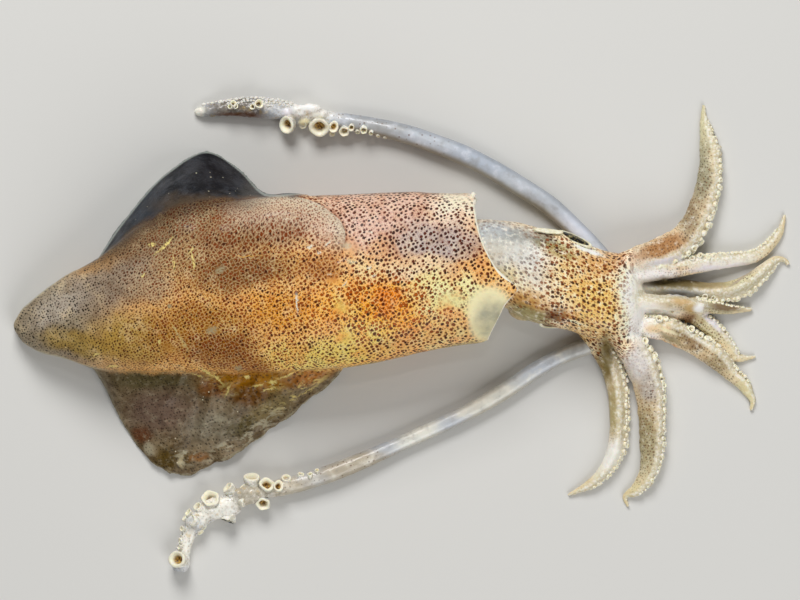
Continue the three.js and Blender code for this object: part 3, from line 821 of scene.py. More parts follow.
# Over the tail the outline is a pale glassy band
tail_rim = beyond.rise(-0.45, -0.1) * forward.rise(-66, -84)
spotted = skin.mix(tail_rim * 0.7, spotted, (190, 184, 162))
# Painted shade darkens the left flank near its outline, from the middle back to the tail
flank = beyond.rise(-5.5, -0.5) * side.rise(14, 22) * forward.rise(-30, -42)
spotted = skin.mix(flank * 0.75, spotted, (96, 84, 66), "MULTIPLY")
fin_root = beyond + (fin_tone - 0.5) * 3
on_fin = fin_root.rise(-0.9, 1.0) * inside_fin.rise(40, 25) * forward.rise(-82, -77)
finished = skin.mix(on_fin, spotted, fin_skin)
finished = skin.mix(behind_edge.rise(0.8, 0.45), finished, (252, 246, 226))
finished = skin.mix(skin.patch(where, *NUB, 1.3, 1.3), finished, (250, 244, 224))
finished = skin.mix(outward.rise(-0.8, -1.6), finished, (214, 202, 176))

relief = skin.noise(where, 1.2 * MM, 3.0) * 0.6 + (1 - large) * 0.4 + fold * 0.6
skin.finish(
    Base_Color=finished, Roughness=mottle * 0.25 + 0.3, IOR=FLESH_IOR, Specular_IOR_Level=0.15,
    Subsurface_Weight=0.15, Subsurface_Radius=(1.0, 0.5, 0.3), Subsurface_Scale=0.2 * MM, Coat_Weight=0.08,
    Coat_Roughness=0.1, Normal=skin.bump(relief, 0.35, 0.25 * MM),
)
coat(mantle, skin)
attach(mantle, "root")
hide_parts("squid")


# ---- Head, funnel and arms ----
# The head is soft flesh round a small skull. It narrows to a neck inside the collar and parts into eight arms
# ahead of the eyes. Below it lies the funnel, a short tube. One skin covers them all without a seam.
HEAD = [
    (1.5, 17.6, 6, 6.5, 10), (7.1, 18.2, 4.5, 9, 14.5), (13.4, 18.6, 3.6, 10, 16.6),
    (19.6, 18.6, 2.2, 10.5, 18.6), (24.6, 18.2, 0.8, 10.6, 18.6), (29.6, 16.4, 0, 11.8, 18.2),
    (35.9, 14.5, 0, 12, 19), (42.1, 13.1, 0, 11.9, 18.5), (47.1, 11, 0, 11.6, 17), (51.5, 9.6, 0, 11.4, 15.2),
    (55.6, 8.9, 0, 11, 12.6), (59, 8.2, 0, 8.6, 9.6), (61.4, 8, 1, 1.5, 5),
]
FUNNEL = [
    (6, 15.5, 4, 1.5, 3), (8, 15.5, 2, 3.4, 5), (14, 15.5, 1.6, 5.4, 7), (22, 15.3, 0.6, 5, 6.4),
    (29, 15, 0, 4, 5.4), (33, 14.8, 0, 2.6, 4.2), (34, 14.8, 1, 1, 2),
]
HEAD_SIDES = 36
HEAD_RINGS = 60
FUNNEL_RINGS = 24
HEAD_VOXEL = 0.34
EYEBALLS = [(38.6, 20.5, 10.6), (36.2, 8.4, 9.4)]
EYEBALL_RADIUS = 5.8
NECK_FOLD = {"at": (31, 6.6, 7), "size": (4.5, 2.9, 4)}  # loose skin behind the right eye

# An arm's route is x, y, lift of the underside, half width. facing is the side its suckers are on, 1 for the
# left, and turn is how far they look upwards, in degrees. suckers holds the shares of its length where they
# start and end. trough is the depth of the groove between its edges, and web is how far the thin skin under
# the suckers stands out.
LIMB_DEPTH = 0.9  # height of an arm or tentacle as a share of its width
LIMB_STEP = 0.8
ARM_SIDES = 20
ARMS = {
    "arm_a": {
        "facing": -1, "turn": 4, "trough": 0.2, "suckers": (0.24, 0.93), "web": 1.9,
        "route": [(50, 15.5, 6, 2.8), (58.5, 19.2, 5.2, 2.9), (65, 21.4, 3, 3), (70.7, 24.9, 1, 2.9),
                  (73.8, 30, 0, 2.5), (76.2, 37.7, 0, 2.3), (76.8, 43.5, 0, 1.9), (76, 49.4, 0, 1.1),
                  (75.5, 53.5, 0, 0.7), (75.8, 57.8, 0.2, 0.45)],
    },
    "arm_b": {
        "facing": 1, "turn": 22, "trough": 0.15, "suckers": (0.44, 0.92), "web": 1.0,
        "route": [(52, 14.2, 5, 2.8), (62.1, 15.8, 4, 2.3), (69.6, 16.8, 2.8, 2), (79.6, 18.3, 0.8, 1.5),
                  (84.6, 18.8, 0, 1.35), (89, 19.7, 0, 1.2), (92.2, 22, 0, 1), (94.8, 25.5, 0, 0.8),
                  (96.1, 30.3, 0.2, 0.45)],
    },
    "arm_c": {
        "facing": -1, "turn": 48, "trough": 0.5, "suckers": (0.45, 0.93), "web": 1.0,
        "route": [(52, 11.2, 1, 2.6), (64.6, 11.9, 0.4, 2.3), (70, 11.8, 0, 2.4), (78.4, 11.1, 0, 2.2),
                  (82.4, 11.5, 0, 2.2), (86, 12.8, 0, 2.1), (89, 15, 0, 1.8), (91.4, 17.2, 0, 1.4),
                  (94, 19.1, 0, 0.9), (95.8, 19.1, 0, 0.6), (97, 17.8, 0.1, 0.45)],
    },
    "arm_d": {
        "facing": 1, "turn": 30, "trough": 0.15, "suckers": (0.62, 0.95), "web": 0.4,
        "route": [(50, 8.6, 6.5, 2.6), (63.4, 8.2, 5, 1.7), (69.6, 7.9, 4, 1.75), (74.6, 7.2, 3, 1.7),
                  (78.4, 6.8, 2, 1.35), (83.4, 6.3, 0.9, 0.8), (88, 6.6, 0.3, 0.4)],
    },
    "arm_e": {
        "facing": 1, "turn": 10, "trough": 0.2, "suckers": (0.5, 0.88), "web": 1.0,
        "route": [(52, 6.2, 3, 2.4), (62, 6.5, 2, 1.6), (68.4, 6.1, 1, 1.6), (72.1, 5.2, 0.3, 1.7),
                  (75.4, 3.4, 0, 1.8), (78, 1.2, 0, 1.7), (80.4, -1.3, 0, 1.4), (82.4, -3.9, 0, 1.1),
                  (84.1, -5.9, 0, 0.8), (86.1, -5.8, 0, 0.6), (88.9, -5.3, 0.1, 0.4)],
    },
    "arm_f": {
        "facing": 1, "turn": 12, "trough": 0.2, "suckers": (0.14, 0.86), "web": 1.3,
        "route": [(52, 3.6, 4, 2.8), (62.1, 1.9, 2.6, 2.4), (66.4, 1.1, 1.4, 2.4), (70.4, -0.6, 0.4, 2.4),
                  (73.9, -2.6, 0, 2.4), (77.6, -5, 0, 2.3), (80.1, -7.3, 0, 1.9), (82.2, -9.7, 0, 1.4),
                  (84.7, -11.8, 0, 1.2), (86.7, -14.2, 0, 1), (88, -16.8, 0, 0.65), (87.6, -18.8, 0.1, 0.4)],
    },
    "arm_g": {
        "facing": 1, "turn": 8, "trough": 0.2, "suckers": (0.2, 0.9), "web": 1.3,
        "route": [(50, 4, 4, 3), (57, -2.6, 3, 3.6), (60.6, -9, 1, 3.4), (62, -14.6, 0, 3),
                  (62.3, -20.5, 0, 2.7), (62.4, -26.2, 0, 2.5), (62, -31.8, 0, 2), (60.4, -36.1, 0, 1.4),
                  (58.1, -38.7, 0, 0.95), (55.9, -40.4, 0, 0.6), (56.9, -43.1, 0.1, 0.4)],
    },
    "arm_h": {
        "facing": 1, "turn": 42, "trough": 0.4, "suckers": (0.2, 0.9), "web": 0.9,
        "route": [(45, 4, 2, 2.6), (49.6, -2.6, 1, 2.7), (51.9, -7, 0.4, 2.5), (53.5, -12, 0, 2.3),
                  (54.1, -18, 0, 2.05), (54.1, -23.5, 0, 2), (53.6, -28, 0, 2), (52.2, -31.4, 0, 1.7),
                  (49.7, -34.9, 0, 1.3), (46.4, -37.6, 0, 0.9), (41.6, -40.1, 0.1, 0.4)],
    },
}
EDGE_ANGLE = 48  # from the middle of the suckers' side to the raised edge along it, in degrees
EDGE_RISE = 0.26
KEEL_RISE = 0.16


class Course:
    """A limb's route: the middle of each ring, its left side, half width and half height, and its length."""

    def __init__(self, route):
        steps = np.linalg.norm(np.diff(np.array(route, float)[:, :3], axis=0), axis=1)
        stations = smooth_stations(route, round(steps.sum() / LIMB_STEP) + 1)
        self.wide = stations[:, 3]
        self.middle = stations[:, :3].copy()
        self.middle[:, 2] += BED * 2 * LIMB_DEPTH * self.wide
        self.high = (1 - BED) * 2 * LIMB_DEPTH * self.wide
        self.heading = np.unwrap(np.arctan2(np.gradient(stations[:, 1]), np.gradient(stations[:, 0])))
        self.left = np.stack([-np.sin(self.heading), np.cos(self.heading), 0 * self.heading], axis=1)
        reach = np.cumsum(np.linalg.norm(np.diff(self.middle, axis=0), axis=1))
        self.reach = np.concatenate([[0], reach])
        self.share = self.reach / self.reach[-1]

    def at(self, share):
        """The middle, left side, half width and half height at a share of the length."""
        def read(column):
            return np.interp(share, self.share, column)
        middle = np.array([read(axis) for axis in self.middle.T])
        left = np.array([read(axis) for axis in self.left.T])
        return middle, left / np.linalg.norm(left), read(self.wide), read(self.high)


def limb(name, course, sides):
    """A closed body of upright rings, extruded along a bending course."""
    bpy.ops.mesh.primitive_circle_add(
        vertices=sides, radius=MM, fill_type="NGON", rotation=(0, math.pi / 2, course.heading[0])
    )
    piece = bpy.context.object
    piece.name = name
    piece.scale = (course.high[0], course.wide[0], 1)
    piece.location = course.middle[0] * MM
    bpy.ops.object.transform_apply(location=True, rotation=True, scale=True)
    bpy.ops.object.mode_set(mode="EDIT")
    bpy.ops.mesh.select_all(action="SELECT")
    for ring in range(1, len(course.wide)):
        target = Vector(course.middle[ring] * MM)
        move = target - Vector(course.middle[ring - 1] * MM)
        bpy.ops.mesh.extrude_region_move(TRANSFORM_OT_translate={"value": move})
        turned = course.heading[ring] - course.heading[ring - 1]
        bpy.ops.transform.rotate(value=-turned, orient_axis="Z", center_override=target)
        grown = course.wide[ring] / course.wide[ring - 1]
        bpy.ops.transform.resize(value=(grown, grown, grown), center_override=target)
    close_mesh()
    return piece


def facing_angle(arm):
    """Direction in which the suckers look, in radians from the limb's left over its top."""
    return math.radians(arm["turn"] if arm["facing"] > 0 else 180 - arm["turn"])


def angle_from(angle, start):
    """The difference of two angles, between half a turn back and half a turn on."""
    return np.mod(angle - start + math.pi, 2 * math.pi) - math.pi


def section_growth(arm, share, wide, from_face):
    """How far a ring's points move out of a plain oval: a blade to the suckers, two edges and a keel."""
    started = smoothstep(share, 0.1, 0.3) * smoothstep(share, 1.0, 0.85)
    blade = arm["web"] / wide * np.exp(-((from_face / 0.75) ** 2))
    edge = EDGE_RISE * np.exp(-(((from_face - math.radians(EDGE_ANGLE)) / 0.3) ** 2))
    face = arm["trough"] * np.exp(-((from_face / 0.5) ** 2))
    keel = KEEL_RISE * np.exp(-(((math.pi - from_face) / 0.35) ** 2))
    return started * (blade + edge + keel - face)


def shape_section(piece, arm, ragged):
    """Gives a limb's rings their section, a little uneven from ring to ring."""
    course = arm["course"]
    places = corners(piece).reshape(len(course.wide), ARM_SIDES, 3)
    round_by = np.arange(ARM_SIDES) * 2 * math.pi / ARM_SIDES
    from_face = np.abs(angle_from(round_by, facing_angle(arm)))[None, :]
    grown = section_growth(arm, course.share[:, None], course.wide[:, None], from_face)
    grown *= 1 + ragged.normal(0, 0.3, (len(course.wide), 1))
    middle = course.middle[:, None, :]
    set_corners(piece, (middle + (places - middle) * (1 + grown[:, :, None])).reshape(-1, 3))


bpy.ops.object.select_all(action="DESELECT")
head = trunk("head", smooth_stations(HEAD, HEAD_RINGS), HEAD_SIDES)
parts = [trunk("funnel", smooth_stations(FUNNEL, FUNNEL_RINGS), HEAD_SIDES)]
parts.append(ball(NECK_FOLD["at"], stretch=NECK_FOLD["size"]))
parts += [ball(place, EYEBALL_RADIUS) for place in EYEBALLS]

ragged = np.random.default_rng(5)
for name, arm in ARMS.items():
    arm["course"] = Course(arm["route"])
    part = limb(name, arm["course"], ARM_SIDES)
    shape_section(part, arm, ragged)
    parts.append(part)
join(head, *parts)
apply_modifier(head, "REMESH", mode="VOXEL", voxel_size=HEAD_VOXEL * MM, use_smooth_shade=True)
apply_modifier(head, "SMOOTH", factor=0.5, iterations=3)
roughen(head, "flesh", 5, 0.35)
roughen(head, "wrinkles", 1.6, 0.12)
lay_down(head)


def nearest_limb(places, limbs):
    """For each place: how far along its nearest limb, how far round from its suckers' side, and which side.

    The first and second are given as a share and an angle, and at the end in mm too.
    """
    closest = np.full(len(places), 99.0)
    found = np.zeros((len(places), 5))
    for arm in limbs:
        course = arm["course"]
        for start in range(0, len(places), 20000):
            some = slice(start, start + 20000)
            offsets = places[some, None, :] - course.middle[None, :, :]
            ring = np.linalg.norm(offsets, axis=2).argmin(axis=1)
            offset = offsets[np.arange(len(ring)), ring]
            side = (offset * course.left[ring]).sum(axis=1)
            near = np.linalg.norm(offset, axis=1) / course.wide[ring]
            away = np.abs(angle_from(np.arctan2(offset[:, 2], side), facing_angle(arm)))
            ahead = offset[:, 0] * np.cos(course.heading[ring]) + offset[:, 1] * np.sin(course.heading[ring])
            better = near < closest[some]
            closest[some] = np.where(better, near, closest[some])
            beside = [course.share[ring], away, side / course.wide[ring]]
            row = np.stack([*beside, course.reach[ring] + ahead, away * course.wide[ring]], axis=1)
            found[some] = np.where(better[:, None], row, found[some])
    return found


HEAD_PITCH = 1.12
places = corners(head)
on_limb = nearest_limb(places, ARMS.values())
keep(head, "limb", on_limb[:, :3])
keep(head, "arm_cells", np.stack([on_limb[:, 3], on_limb[:, 4], 0 * on_limb[:, 0]], axis=1))
measure = unroll(places, HEAD[:11], lambda x: HEAD_PITCH + 0 * x)
keep(head, "cells", np.stack([measure[:, 0] * 0.86, measure[:, 1], 0 * measure[:, 0]], axis=1))

HEAD_FLESH = (236, 212, 172)
HEAD_PATCHES = [
    (23, 25, 11, 6, (172, 178, 182), 0.95),  # blue white neck
    (23, 20, 7, 7, (196, 192, 180), 0.9),
    (31, 24, 9, 4, (150, 152, 148), 0.85, -8),
    (27, 14, 9, 5, (222, 210, 172), 0.95),
    (35, 16, 8, 7, (216, 208, 194), 0.95),
    (30, 20, 7, 5, (204, 203, 196), 0.95),
    (37, 23, 7, 2.5, (118, 116, 96), 0.85, -14),
    (31, 8.5, 8, 3.5, (188, 140, 66), 0.9, -14),
    (32, 5.2, 9, 3, (148, 138, 88), 0.9, -16),  # olive by the right eye
    (39, 5, 5, 2.5, (96, 56, 12), 0.9, -10),
    (45, 4.6, 7, 3.4, (206, 142, 84), 0.9),
    (43, 15, 10, 9, (226, 198, 140), 0.95),  # gold over the brain
    (46, 12.5, 6, 4, (218, 172, 98), 0.85),
    (49, 8, 11, 9, (228, 192, 112), 0.95),
    (50, 18, 9, 4, (216, 170, 108), 0.9),
    (56, 19, 6, 3, (206, 162, 116), 0.9),
    (47, 1, 9, 4, (222, 188, 126), 0.9),
    (39, 21, 7, 2.5, (162, 142, 84), 0.85, -20),
    (60, 10, 8.5, 15, (253, 245, 228), 1.0),  # cream crown of the arms
    (61, 2, 6, 7, (255, 250, 246), 0.95),
    (64, 15, 9, 3.4, (250, 242, 238), 0.95),
    (65, 22, 10, 4, (182, 132, 82), 0.95, 22),  # arm a
    (71.5, 31, 4, 10, (156, 138, 106), 0.9, 8),
    (75, 42, 4, 14, (142, 136, 110), 0.95),
    (75, 54, 3, 9, (214, 208, 166), 0.8),
    (82, 18.5, 15, 4, (248, 244, 234), 0.95),  # arm b
    (70, 13.4, 13, 2.2, (84, 70, 40), 0.95),  # arm c, painted shade where it lies under arm b
    (70, 10.8, 9, 1.6, (168, 156, 140), 0.9),
    (85, 13.5, 8, 4, (214, 206, 160), 0.85),
    (80, 7, 8, 2.2, (84, 58, 30), 0.95),  # arm d
    (69, 7.4, 7, 2.4, (214, 196, 158), 0.9),
    (77, 2, 8, 7, (206, 194, 152), 0.9),  # arm e
    (72, 4.4, 2.6, 2, (120, 74, 36), 0.8),
    (64, 2, 5, 2.6, (238, 206, 158), 0.95),  # arm f
    (70, 0.6, 4, 2.6, (140, 118, 62), 0.85, -30),
    (73, -2, 4.5, 3, (160, 134, 98), 0.9, -30),
    (79, -7, 5, 4, (164, 140, 98), 0.9, -45),
    (86, -15, 4, 6, (232, 218, 160), 0.9),
    (59, -7, 6, 7, (228, 222, 218), 0.95),  # arm g
    (62, -13, 4, 6, (186, 178, 172), 0.8),
    (61, -26, 5, 13, (160, 146, 108), 0.95),
    (59, -40, 5, 4, (226, 208, 152), 0.9),
    (51, -6, 4, 9, (146, 128, 78), 0.95),  # arm h
    (53, -19, 5, 10, (186, 172, 124), 0.9),
    (51, -31, 8, 8, (252, 248, 236), 0.95),
]
# Small marks with a definite place: the band under the left eye and the lid of the right one
HEAD_MARKS = [
    (46.6, 21.2, 6, 0.9, (250, 246, 236), 0.95, -20), (43, 3.4, 4.6, 0.6, (240, 228, 190), 0.9, -18),
    (40, 22.6, 3.4, 0.8, (206, 196, 150), 0.8, -30), (36, 2.6, 4, 0.5, (90, 66, 30), 0.8, -8),
]
# Painted shade in the hollows, brown marks and pale stretches of the arms, over their edges too
ARM_MARKS = [
    (68, 12.9, 10, 1.9, (110, 96, 60), 0.95, -2), (77, 12.8, 7, 1.6, (152, 136, 96), 0.8, 4),
    (70, 10.6, 9, 1.1, (188, 190, 190), 0.9, -2), (81, 7, 6, 1.4, (120, 94, 62), 0.9, -4),
    (85, 14.4, 6, 0.5, (170, 152, 138), 0.7, 32), (84, 16, 5, 0.5, (206, 180, 108), 0.7, 30),
    (70, 8.4, 4, 1.2, (214, 176, 116), 0.8, -6), (72.6, 6.6, 3, 1.6, (196, 160, 96), 0.8),
    (63.5, 5.6, 9, 2.4, (250, 246, 240), 0.8), (74.2, 6.8, 1.6, 2, (255, 253, 250), 0.95, -50),
    (78, 3.4, 5, 1.4, (232, 226, 230), 0.9, -46), (66.5, 1.2, 4, 0.7, (246, 236, 196), 0.8, -22),
    (67, -0.6, 5, 1.0, (150, 136, 100), 0.8, -28), (66, -2, 5, 0.8, (206, 128, 66), 0.8, -20),
    (66.5, 18.6, 8, 1.3, (228, 222, 226), 0.8, 12), (80, 17, 12, 1.2, (246, 240, 246), 0.8, 6),
    (51.4, -5, 1.6, 8, (128, 112, 66), 0.8, 6), (52.6, -30, 3, 6, (255, 252, 244), 0.8, -24),
]
HEAD_BARE = [
    (25, 23, 12, 7, 0.85), (62, 9, 10.5, 14, 0.85), (51, -34, 9, 9, 0.95), (52, -16, 5, 14, 0.9),
    (72, 12, 20, 3, 0.95), (82, 18, 14, 4, 0.8), (86, -15, 5, 7, 0.7), (59, -9, 5, 8, 0.75),
    (46.6, 21.2, 6, 1, 1, -20), (31, 5.2, 7, 2.4, 0.8),
]

skin = Paint("head_skin")
where = skin.place()
along = skin.axis(skin.attribute("limb"), "X")
away = along.part("Y")
forward = skin.axis(where, "X") / MM
ground = tinted(skin, drifted(skin, where, 4, 3), HEAD_FLESH, HEAD_PATCHES)
mottle = skin.noise(where, 1.5 * MM, 5.0, 0.65)
ground = skin.mix(mottle.rise(0.5, 0.7) * 0.5, ground, (255, 250, 232))
shaded = (1 - skin.patch(where, 61, 8, 9, 18) * 0.8) * 0.4
ground = skin.mix(mottle.rise(0.5, 0.3) * shaded, ground, (190, 148, 92), "MULTIPLY")
ground = skin.mix(along.rise(0.5, 0.85) * 0.45, ground, (222, 215, 178))
ground = tinted(skin, drifted(skin, where, 1.2, 0.7), ground, HEAD_MARKS)

edge = away.rise(1.15, 0.8) * along.rise(0.14, 0.24)
clear = (1 - cover_of(skin, drifted(skin, where, 2, 2), HEAD_BARE)) * (1 - edge * 0.8)
crown = skin.patch(where, 46, 11, 16, 15)
cells = skin.attribute("cells")
large, _, large_kind, _ = spots(skin, cells, 1.0, 0.21, 0.38)
small, _, small_kind, _ = spots(skin, cells, 0.58, 0.17, 0.38)
dots, _, dot_kind, _ = spots(skin, skin.attribute("arm_cells"), 0.76, 0.16, 0.36, 1.6)
on_arm = 1 - along.rise(0.3, 0.16) * forward.rise(60, 56)
dark = skin.mix(large_kind.rise(0.3, 0.7), (70, 30, 12), (136, 68, 24))
dark = skin.mix(skin.patch(where, 24, 20, 12, 12), dark, (66, 50, 50))
fine = skin.mix(small_kind.rise(0.4, 0.6), (84, 50, 30), (148, 92, 48))
tan = skin.mix(small_kind, (158, 84, 22), (224, 146, 56))
fine = skin.mix(crown * small_kind.part("Blue").rise(0.3, 0.4), fine, tan)
ground = lit(skin, ground, (1 - on_arm) * 0.2 + 1)
on_neck = forward.rise(38, 32)
spotted = skin.mix(small * clear * (1 - on_arm) * (1 - on_neck * 0.7) * 0.75, ground, fine)
spotted = skin.mix(large * clear * (1 - on_arm) * (0.95 - on_neck * 0.25), spotted, dark)
arm_dark = skin.mix(dot_kind.rise(0.3, 0.7), (76, 52, 34), (128, 84, 44))
spotted = skin.mix(dots * clear * on_arm * along.rise(1.05, 0.7) * 0.68, spotted, arm_dark)
rim = skin.mix(skin.noise(where, 0.7 * MM).rise(0.42, 0.6), (218, 208, 174), (250, 247, 236))
finished = skin.mix(edge * 0.7, spotted, rim)
# Painted shade darkens the groove between the edges on the suckers' side
trough = away.rise(0.6, 0.2) * along.rise(0.2, 0.3)
finished = skin.mix(trough * 0.35, finished, (170, 156, 118))
finished = tinted(skin, drifted(skin, where, 3, 1.5), finished, ARM_MARKS)
relief = skin.noise(where, 0.9 * MM, 3.0) * 0.6 + (1 - large) * 0.4
skin.finish(
    Base_Color=finished, Roughness=mottle * 0.25 + 0.28, IOR=FLESH_IOR, Specular_IOR_Level=0.2,
    Subsurface_Weight=0.18, Subsurface_Radius=(1.0, 0.6, 0.4), Subsurface_Scale=0.25 * MM, Coat_Weight=0.12,
    Coat_Roughness=0.1, Normal=skin.bump(relief, 0.4, 0.25 * MM),
)
coat(head, skin)
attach(head, "root")
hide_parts("squid")


# ---- Tentacles ----
# Two long feeding arms, smooth round stalks of muscle that come out from under the arm crown and end in
# clubs, flatter and rougher, which carry the largest suckers. Their skin is thin, so they look blue white.
TENTACLE_SIDES = 28
TENTACLES = {
    "left_tentacle": {
        "facing": 1, "turn": 60,
        "route": [(54.5, 13.5, 4, 2), (51.3, 18.3, 3, 2.2), (47.3, 22.8, 1.6, 2.3), (42.5, 27.6, 0.4, 2.4),
                  (38.2, 31.6, 0, 2.45), (29.3, 37.6, 0, 2.5), (19.7, 43.2, 0, 2.5), (9.6, 47.6, 0, 2.5),
                  (-0.4, 50.9, 0, 2.4), (-10.5, 53.1, 0, 2.15), (-18, 54.3, 0, 2), (-25.4, 55.6, 0, 2.1),
                  (-33, 56.8, 0, 2.4), (-40.4, 57.1, 0, 2.3), (-46.4, 56.6, 0, 1.7), (-50.6, 56.2, 0, 1.2),
                  (-51.9, 56.1, 0.4, 0.5)],
    },
    "right_tentacle": {
        "facing": -1, "turn": 60,
        "route": [(55, 2.4, 1.6, 2), (49.8, -1.6, 1, 2), (43.5, -3.8, 0.2, 2.1), (39.8, -5.3, 0, 2.1),
                  (34.8, -7.9, 0, 2.1), (25.3, -14.2, 0, 2.1), (15.2, -19.9, 0, 2), (4.8, -24.7, 0, 1.9),
                  (-5.2, -29.3, 0, 2), (-15.2, -33.5, 0, 2.3), (-25.3, -36.9, 0, 2.2), (-34.9, -39.2, 0, 2),
                  (-44.1, -42.3, 0, 2.3), (-50.6, -46, 0, 2.0), (-53.7, -51, 0, 1.7), (-54.9, -55.2, 0, 1.7),
                  (-56.2, -58.2, 0, 1.5), (-56.6, -59.2, 0.5, 0.6)],
    },
}
STALK_VOXEL = 0.36
CLUB_STARTS = 0.66  # share of the length at which the club begins
CLUB_BLEND = 0.08
# Swollen places of the clubs: x, y, z, half length, half width, half height
SWELLINGS = [
    (-26, 56.2, 4.2, 2.6, 1.7, 1.3), (-22.6, 56.7, 4, 2.6, 1.3, 1.2), (-31, 56.2, 3.6, 2.6, 1.8, 1.4),
    (-28.4, 55.6, 3.2, 2.1, 1.7, 1.8), (-21, 55.4, 3, 3, 1.4, 1.6), (-35, 57.2, 3.4, 1.6, 1.2, 1.2),
    (-24.6, 53.6, 2.5, 2.0, 1.5, 1.6), (-27.2, 54.4, 1.9, 1.8, 1.5, 1.3), (-20.4, 54.2, 1.9, 2.2, 1.4, 1.3),
    (-38, -39.8, 3.6, 4.4, 2.4, 1.6), (-45.5, -43.2, 2.8, 5.4, 2.8, 1.7), (-51.4, -46.6, 2.8, 2.6, 2.4, 1.8),
    (-54.6, -57, 1.8, 1.6, 2.4, 1.5),
]

tentacles = []
for name, tentacle in TENTACLES.items():
    tentacle["course"] = Course(tentacle["route"])
    tentacles.append(limb(name, tentacle["course"], TENTACLE_SIDES))
tentacles += [ball(swelling[:3], stretch=swelling[3:]) for swelling in SWELLINGS]
stalks = join(*tentacles)
stalks.name = "tentacles"
apply_modifier(stalks, "REMESH", mode="VOXEL", voxel_size=STALK_VOXEL * MM, use_smooth_shade=True)
apply_modifier(stalks, "SMOOTH", factor=0.5, iterations=4)
on_limb = nearest_limb(corners(stalks), TENTACLES.values())
weigh(stalks, "in_club", smoothstep(on_limb[:, 0], CLUB_STARTS, CLUB_STARTS + CLUB_BLEND), 10)
roughen(stalks, "muscle bands", 9, 0.3)
roughen(stalks, "club folds", 1.8, 0.6, vertex_group="in_club")
roughen(stalks, "club grain", 0.8, 0.35, vertex_group="in_club")
lay_down(stalks)
keep(stalks, "limb", on_limb[:, :3])

STALK_FLESH = (196, 201, 208)
STALK_PATCHES = [
    (44, 27, 16, 6, (222, 226, 238), 0.8),
    (20, 44, 16, 6, (182, 190, 202), 0.8),
    (-6, 53, 12, 6, (172, 172, 170), 0.85),
    (-22, 57, 11, 5, (250, 246, 238), 0.95),
    (-42, 57, 12, 5, (112, 103, 93), 0.95),  # grey outer club
    (-51, 56, 2.6, 2.6, (246, 242, 226), 1.0),
    (-40.5, 54.9, 9, 1.7, (92, 56, 28), 0.95),
    (46, -4, 12, 5, (196, 196, 190), 0.8),
    (22, -16, 18, 8, (224, 220, 206), 0.9),
    (4, -25, 9, 5, (244, 242, 230), 0.9, 26),
    (-12, -33, 16, 7, (190, 178, 156), 0.95),  # tan before the club
    (-28, -38, 10, 5, (206, 192, 164), 0.8),
    (-38, -40, 8, 6, (192, 182, 160), 0.9),
    (-47, -43, 9, 7, (250, 246, 234), 0.95),
    (-54, -52, 4, 9, (252, 248, 236), 0.95),
    (-57, -55.6, 1.4, 2.4, (150, 122, 60), 0.7),
]
STALK_MARKS = [
    (-40.5, 54.9, 7, 1.3, (96, 56, 28), 0.95, -4), (-23.6, 57.2, 3.6, 1.5, (252, 250, 246), 0.9),
    (-34, 57.4, 3, 1.4, (216, 212, 206), 0.7), (-28.6, 55.6, 1.8, 2, (232, 226, 230), 0.9),
    (-51, 56, 2, 1.8, (250, 247, 234), 0.85), (-21, 55.2, 2.4, 1, (240, 234, 220), 0.8),
    (-24.4, 53.4, 2.2, 1.6, (226, 214, 168), 0.9), (-27.6, 54.2, 1.6, 1.6, (222, 216, 198), 0.85),
    (-20.6, 53.8, 2, 1.4, (228, 214, 160), 0.85),
]


def dots_in(paint, where, pitch, smallest, largest):
    """Round dots of many sizes through the skin, their radii as shares of the pitch."""
    cell = paint.cells(where, pitch * MM, 0.7)
    return (cell / (smallest + (largest - smallest) * paint.chance(cell))).rise(1.1, 0.86)


skin = Paint("tentacle_skin")
where = skin.place()
along = skin.axis(skin.attribute("limb"), "X")
ground = tinted(skin, drifted(skin, where, 6, 4), STALK_FLESH, STALK_PATCHES)
mottle = skin.noise(where, 3.0 * MM, 4.0)
club = along.rise(CLUB_STARTS, CLUB_STARTS + 0.1)
left = skin.axis(where, "Y").rise(0, 0.01)
bright = skin.mix(left, (244, 240, 226), (236, 238, 246))
ground = skin.mix(mottle.rise(0.5, 0.75) * (1 - club * 0.7) * 0.6, ground, bright)
ground = skin.mix(mottle.rise(0.5, 0.28) * 0.4, ground, (142, 140, 136))
# Painted shade and light through the thin edges: grey blue on the upper side, tan underneath on the left one
side = along.part("Z")
ground = skin.mix(side.rise(0.35, 0.95) * left * (1 - club) * 0.75, ground, (150, 138, 104))
ground = skin.mix(side.rise(-0.4, -0.95) * (1 - club) * (left * 0.3 + 0.3), ground, (132, 138, 148))
ground = skin.mix(side.rise(0.5, 0.95) * (1 - left) * (1 - club) * 0.6, ground, (150, 140, 118))
grit = skin.noise(where, 0.8 * MM, 4.0, 0.7)
ground = skin.mix(grit.rise(0.5, 0.34) * club * 0.55, ground, (150, 138, 108))
ground = skin.mix(grit.rise(0.54, 0.66) * club * (1 - left * 0.5) * 0.6, ground, (255, 252, 242))
amber = skin.noise(where, 1.8 * MM, 3.0).rise(0.55, 0.7) * club
ground = skin.mix(amber * 0.4, ground, (206, 172, 92))
small = dots_in(skin, where, 1.1, 0.08, 0.28)
finished = skin.mix(small * along.rise(0.4, 0.55) * (1 - club * 0.5) * 0.6, ground, (104, 72, 50))
finished = tinted(skin, drifted(skin, where, 1.2, 0.8), finished, STALK_MARKS)
relief = skin.noise(where, 1.1 * MM, 3.0) + grit * club
skin.finish(
    Base_Color=finished, Roughness=mottle * 0.2 + 0.22, IOR=FLESH_IOR, Subsurface_Weight=0.3,
    Subsurface_Radius=(1.0, 0.8, 0.7), Subsurface_Scale=0.4 * MM, Coat_Weight=0.3, Coat_Roughness=0.1,
    Normal=skin.bump(relief, 0.35, 0.25 * MM),
)
coat(stalks, skin)
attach(stalks, "root")
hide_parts("squid")


# ---- Suckers ----
# Cups of muscle on short stalks, each with a horny ring round a hollow mouth. Two rows of small ones follow
# the suckers' side of every arm, and the clubs carry large open ones. Each kind is modelled once and copied.

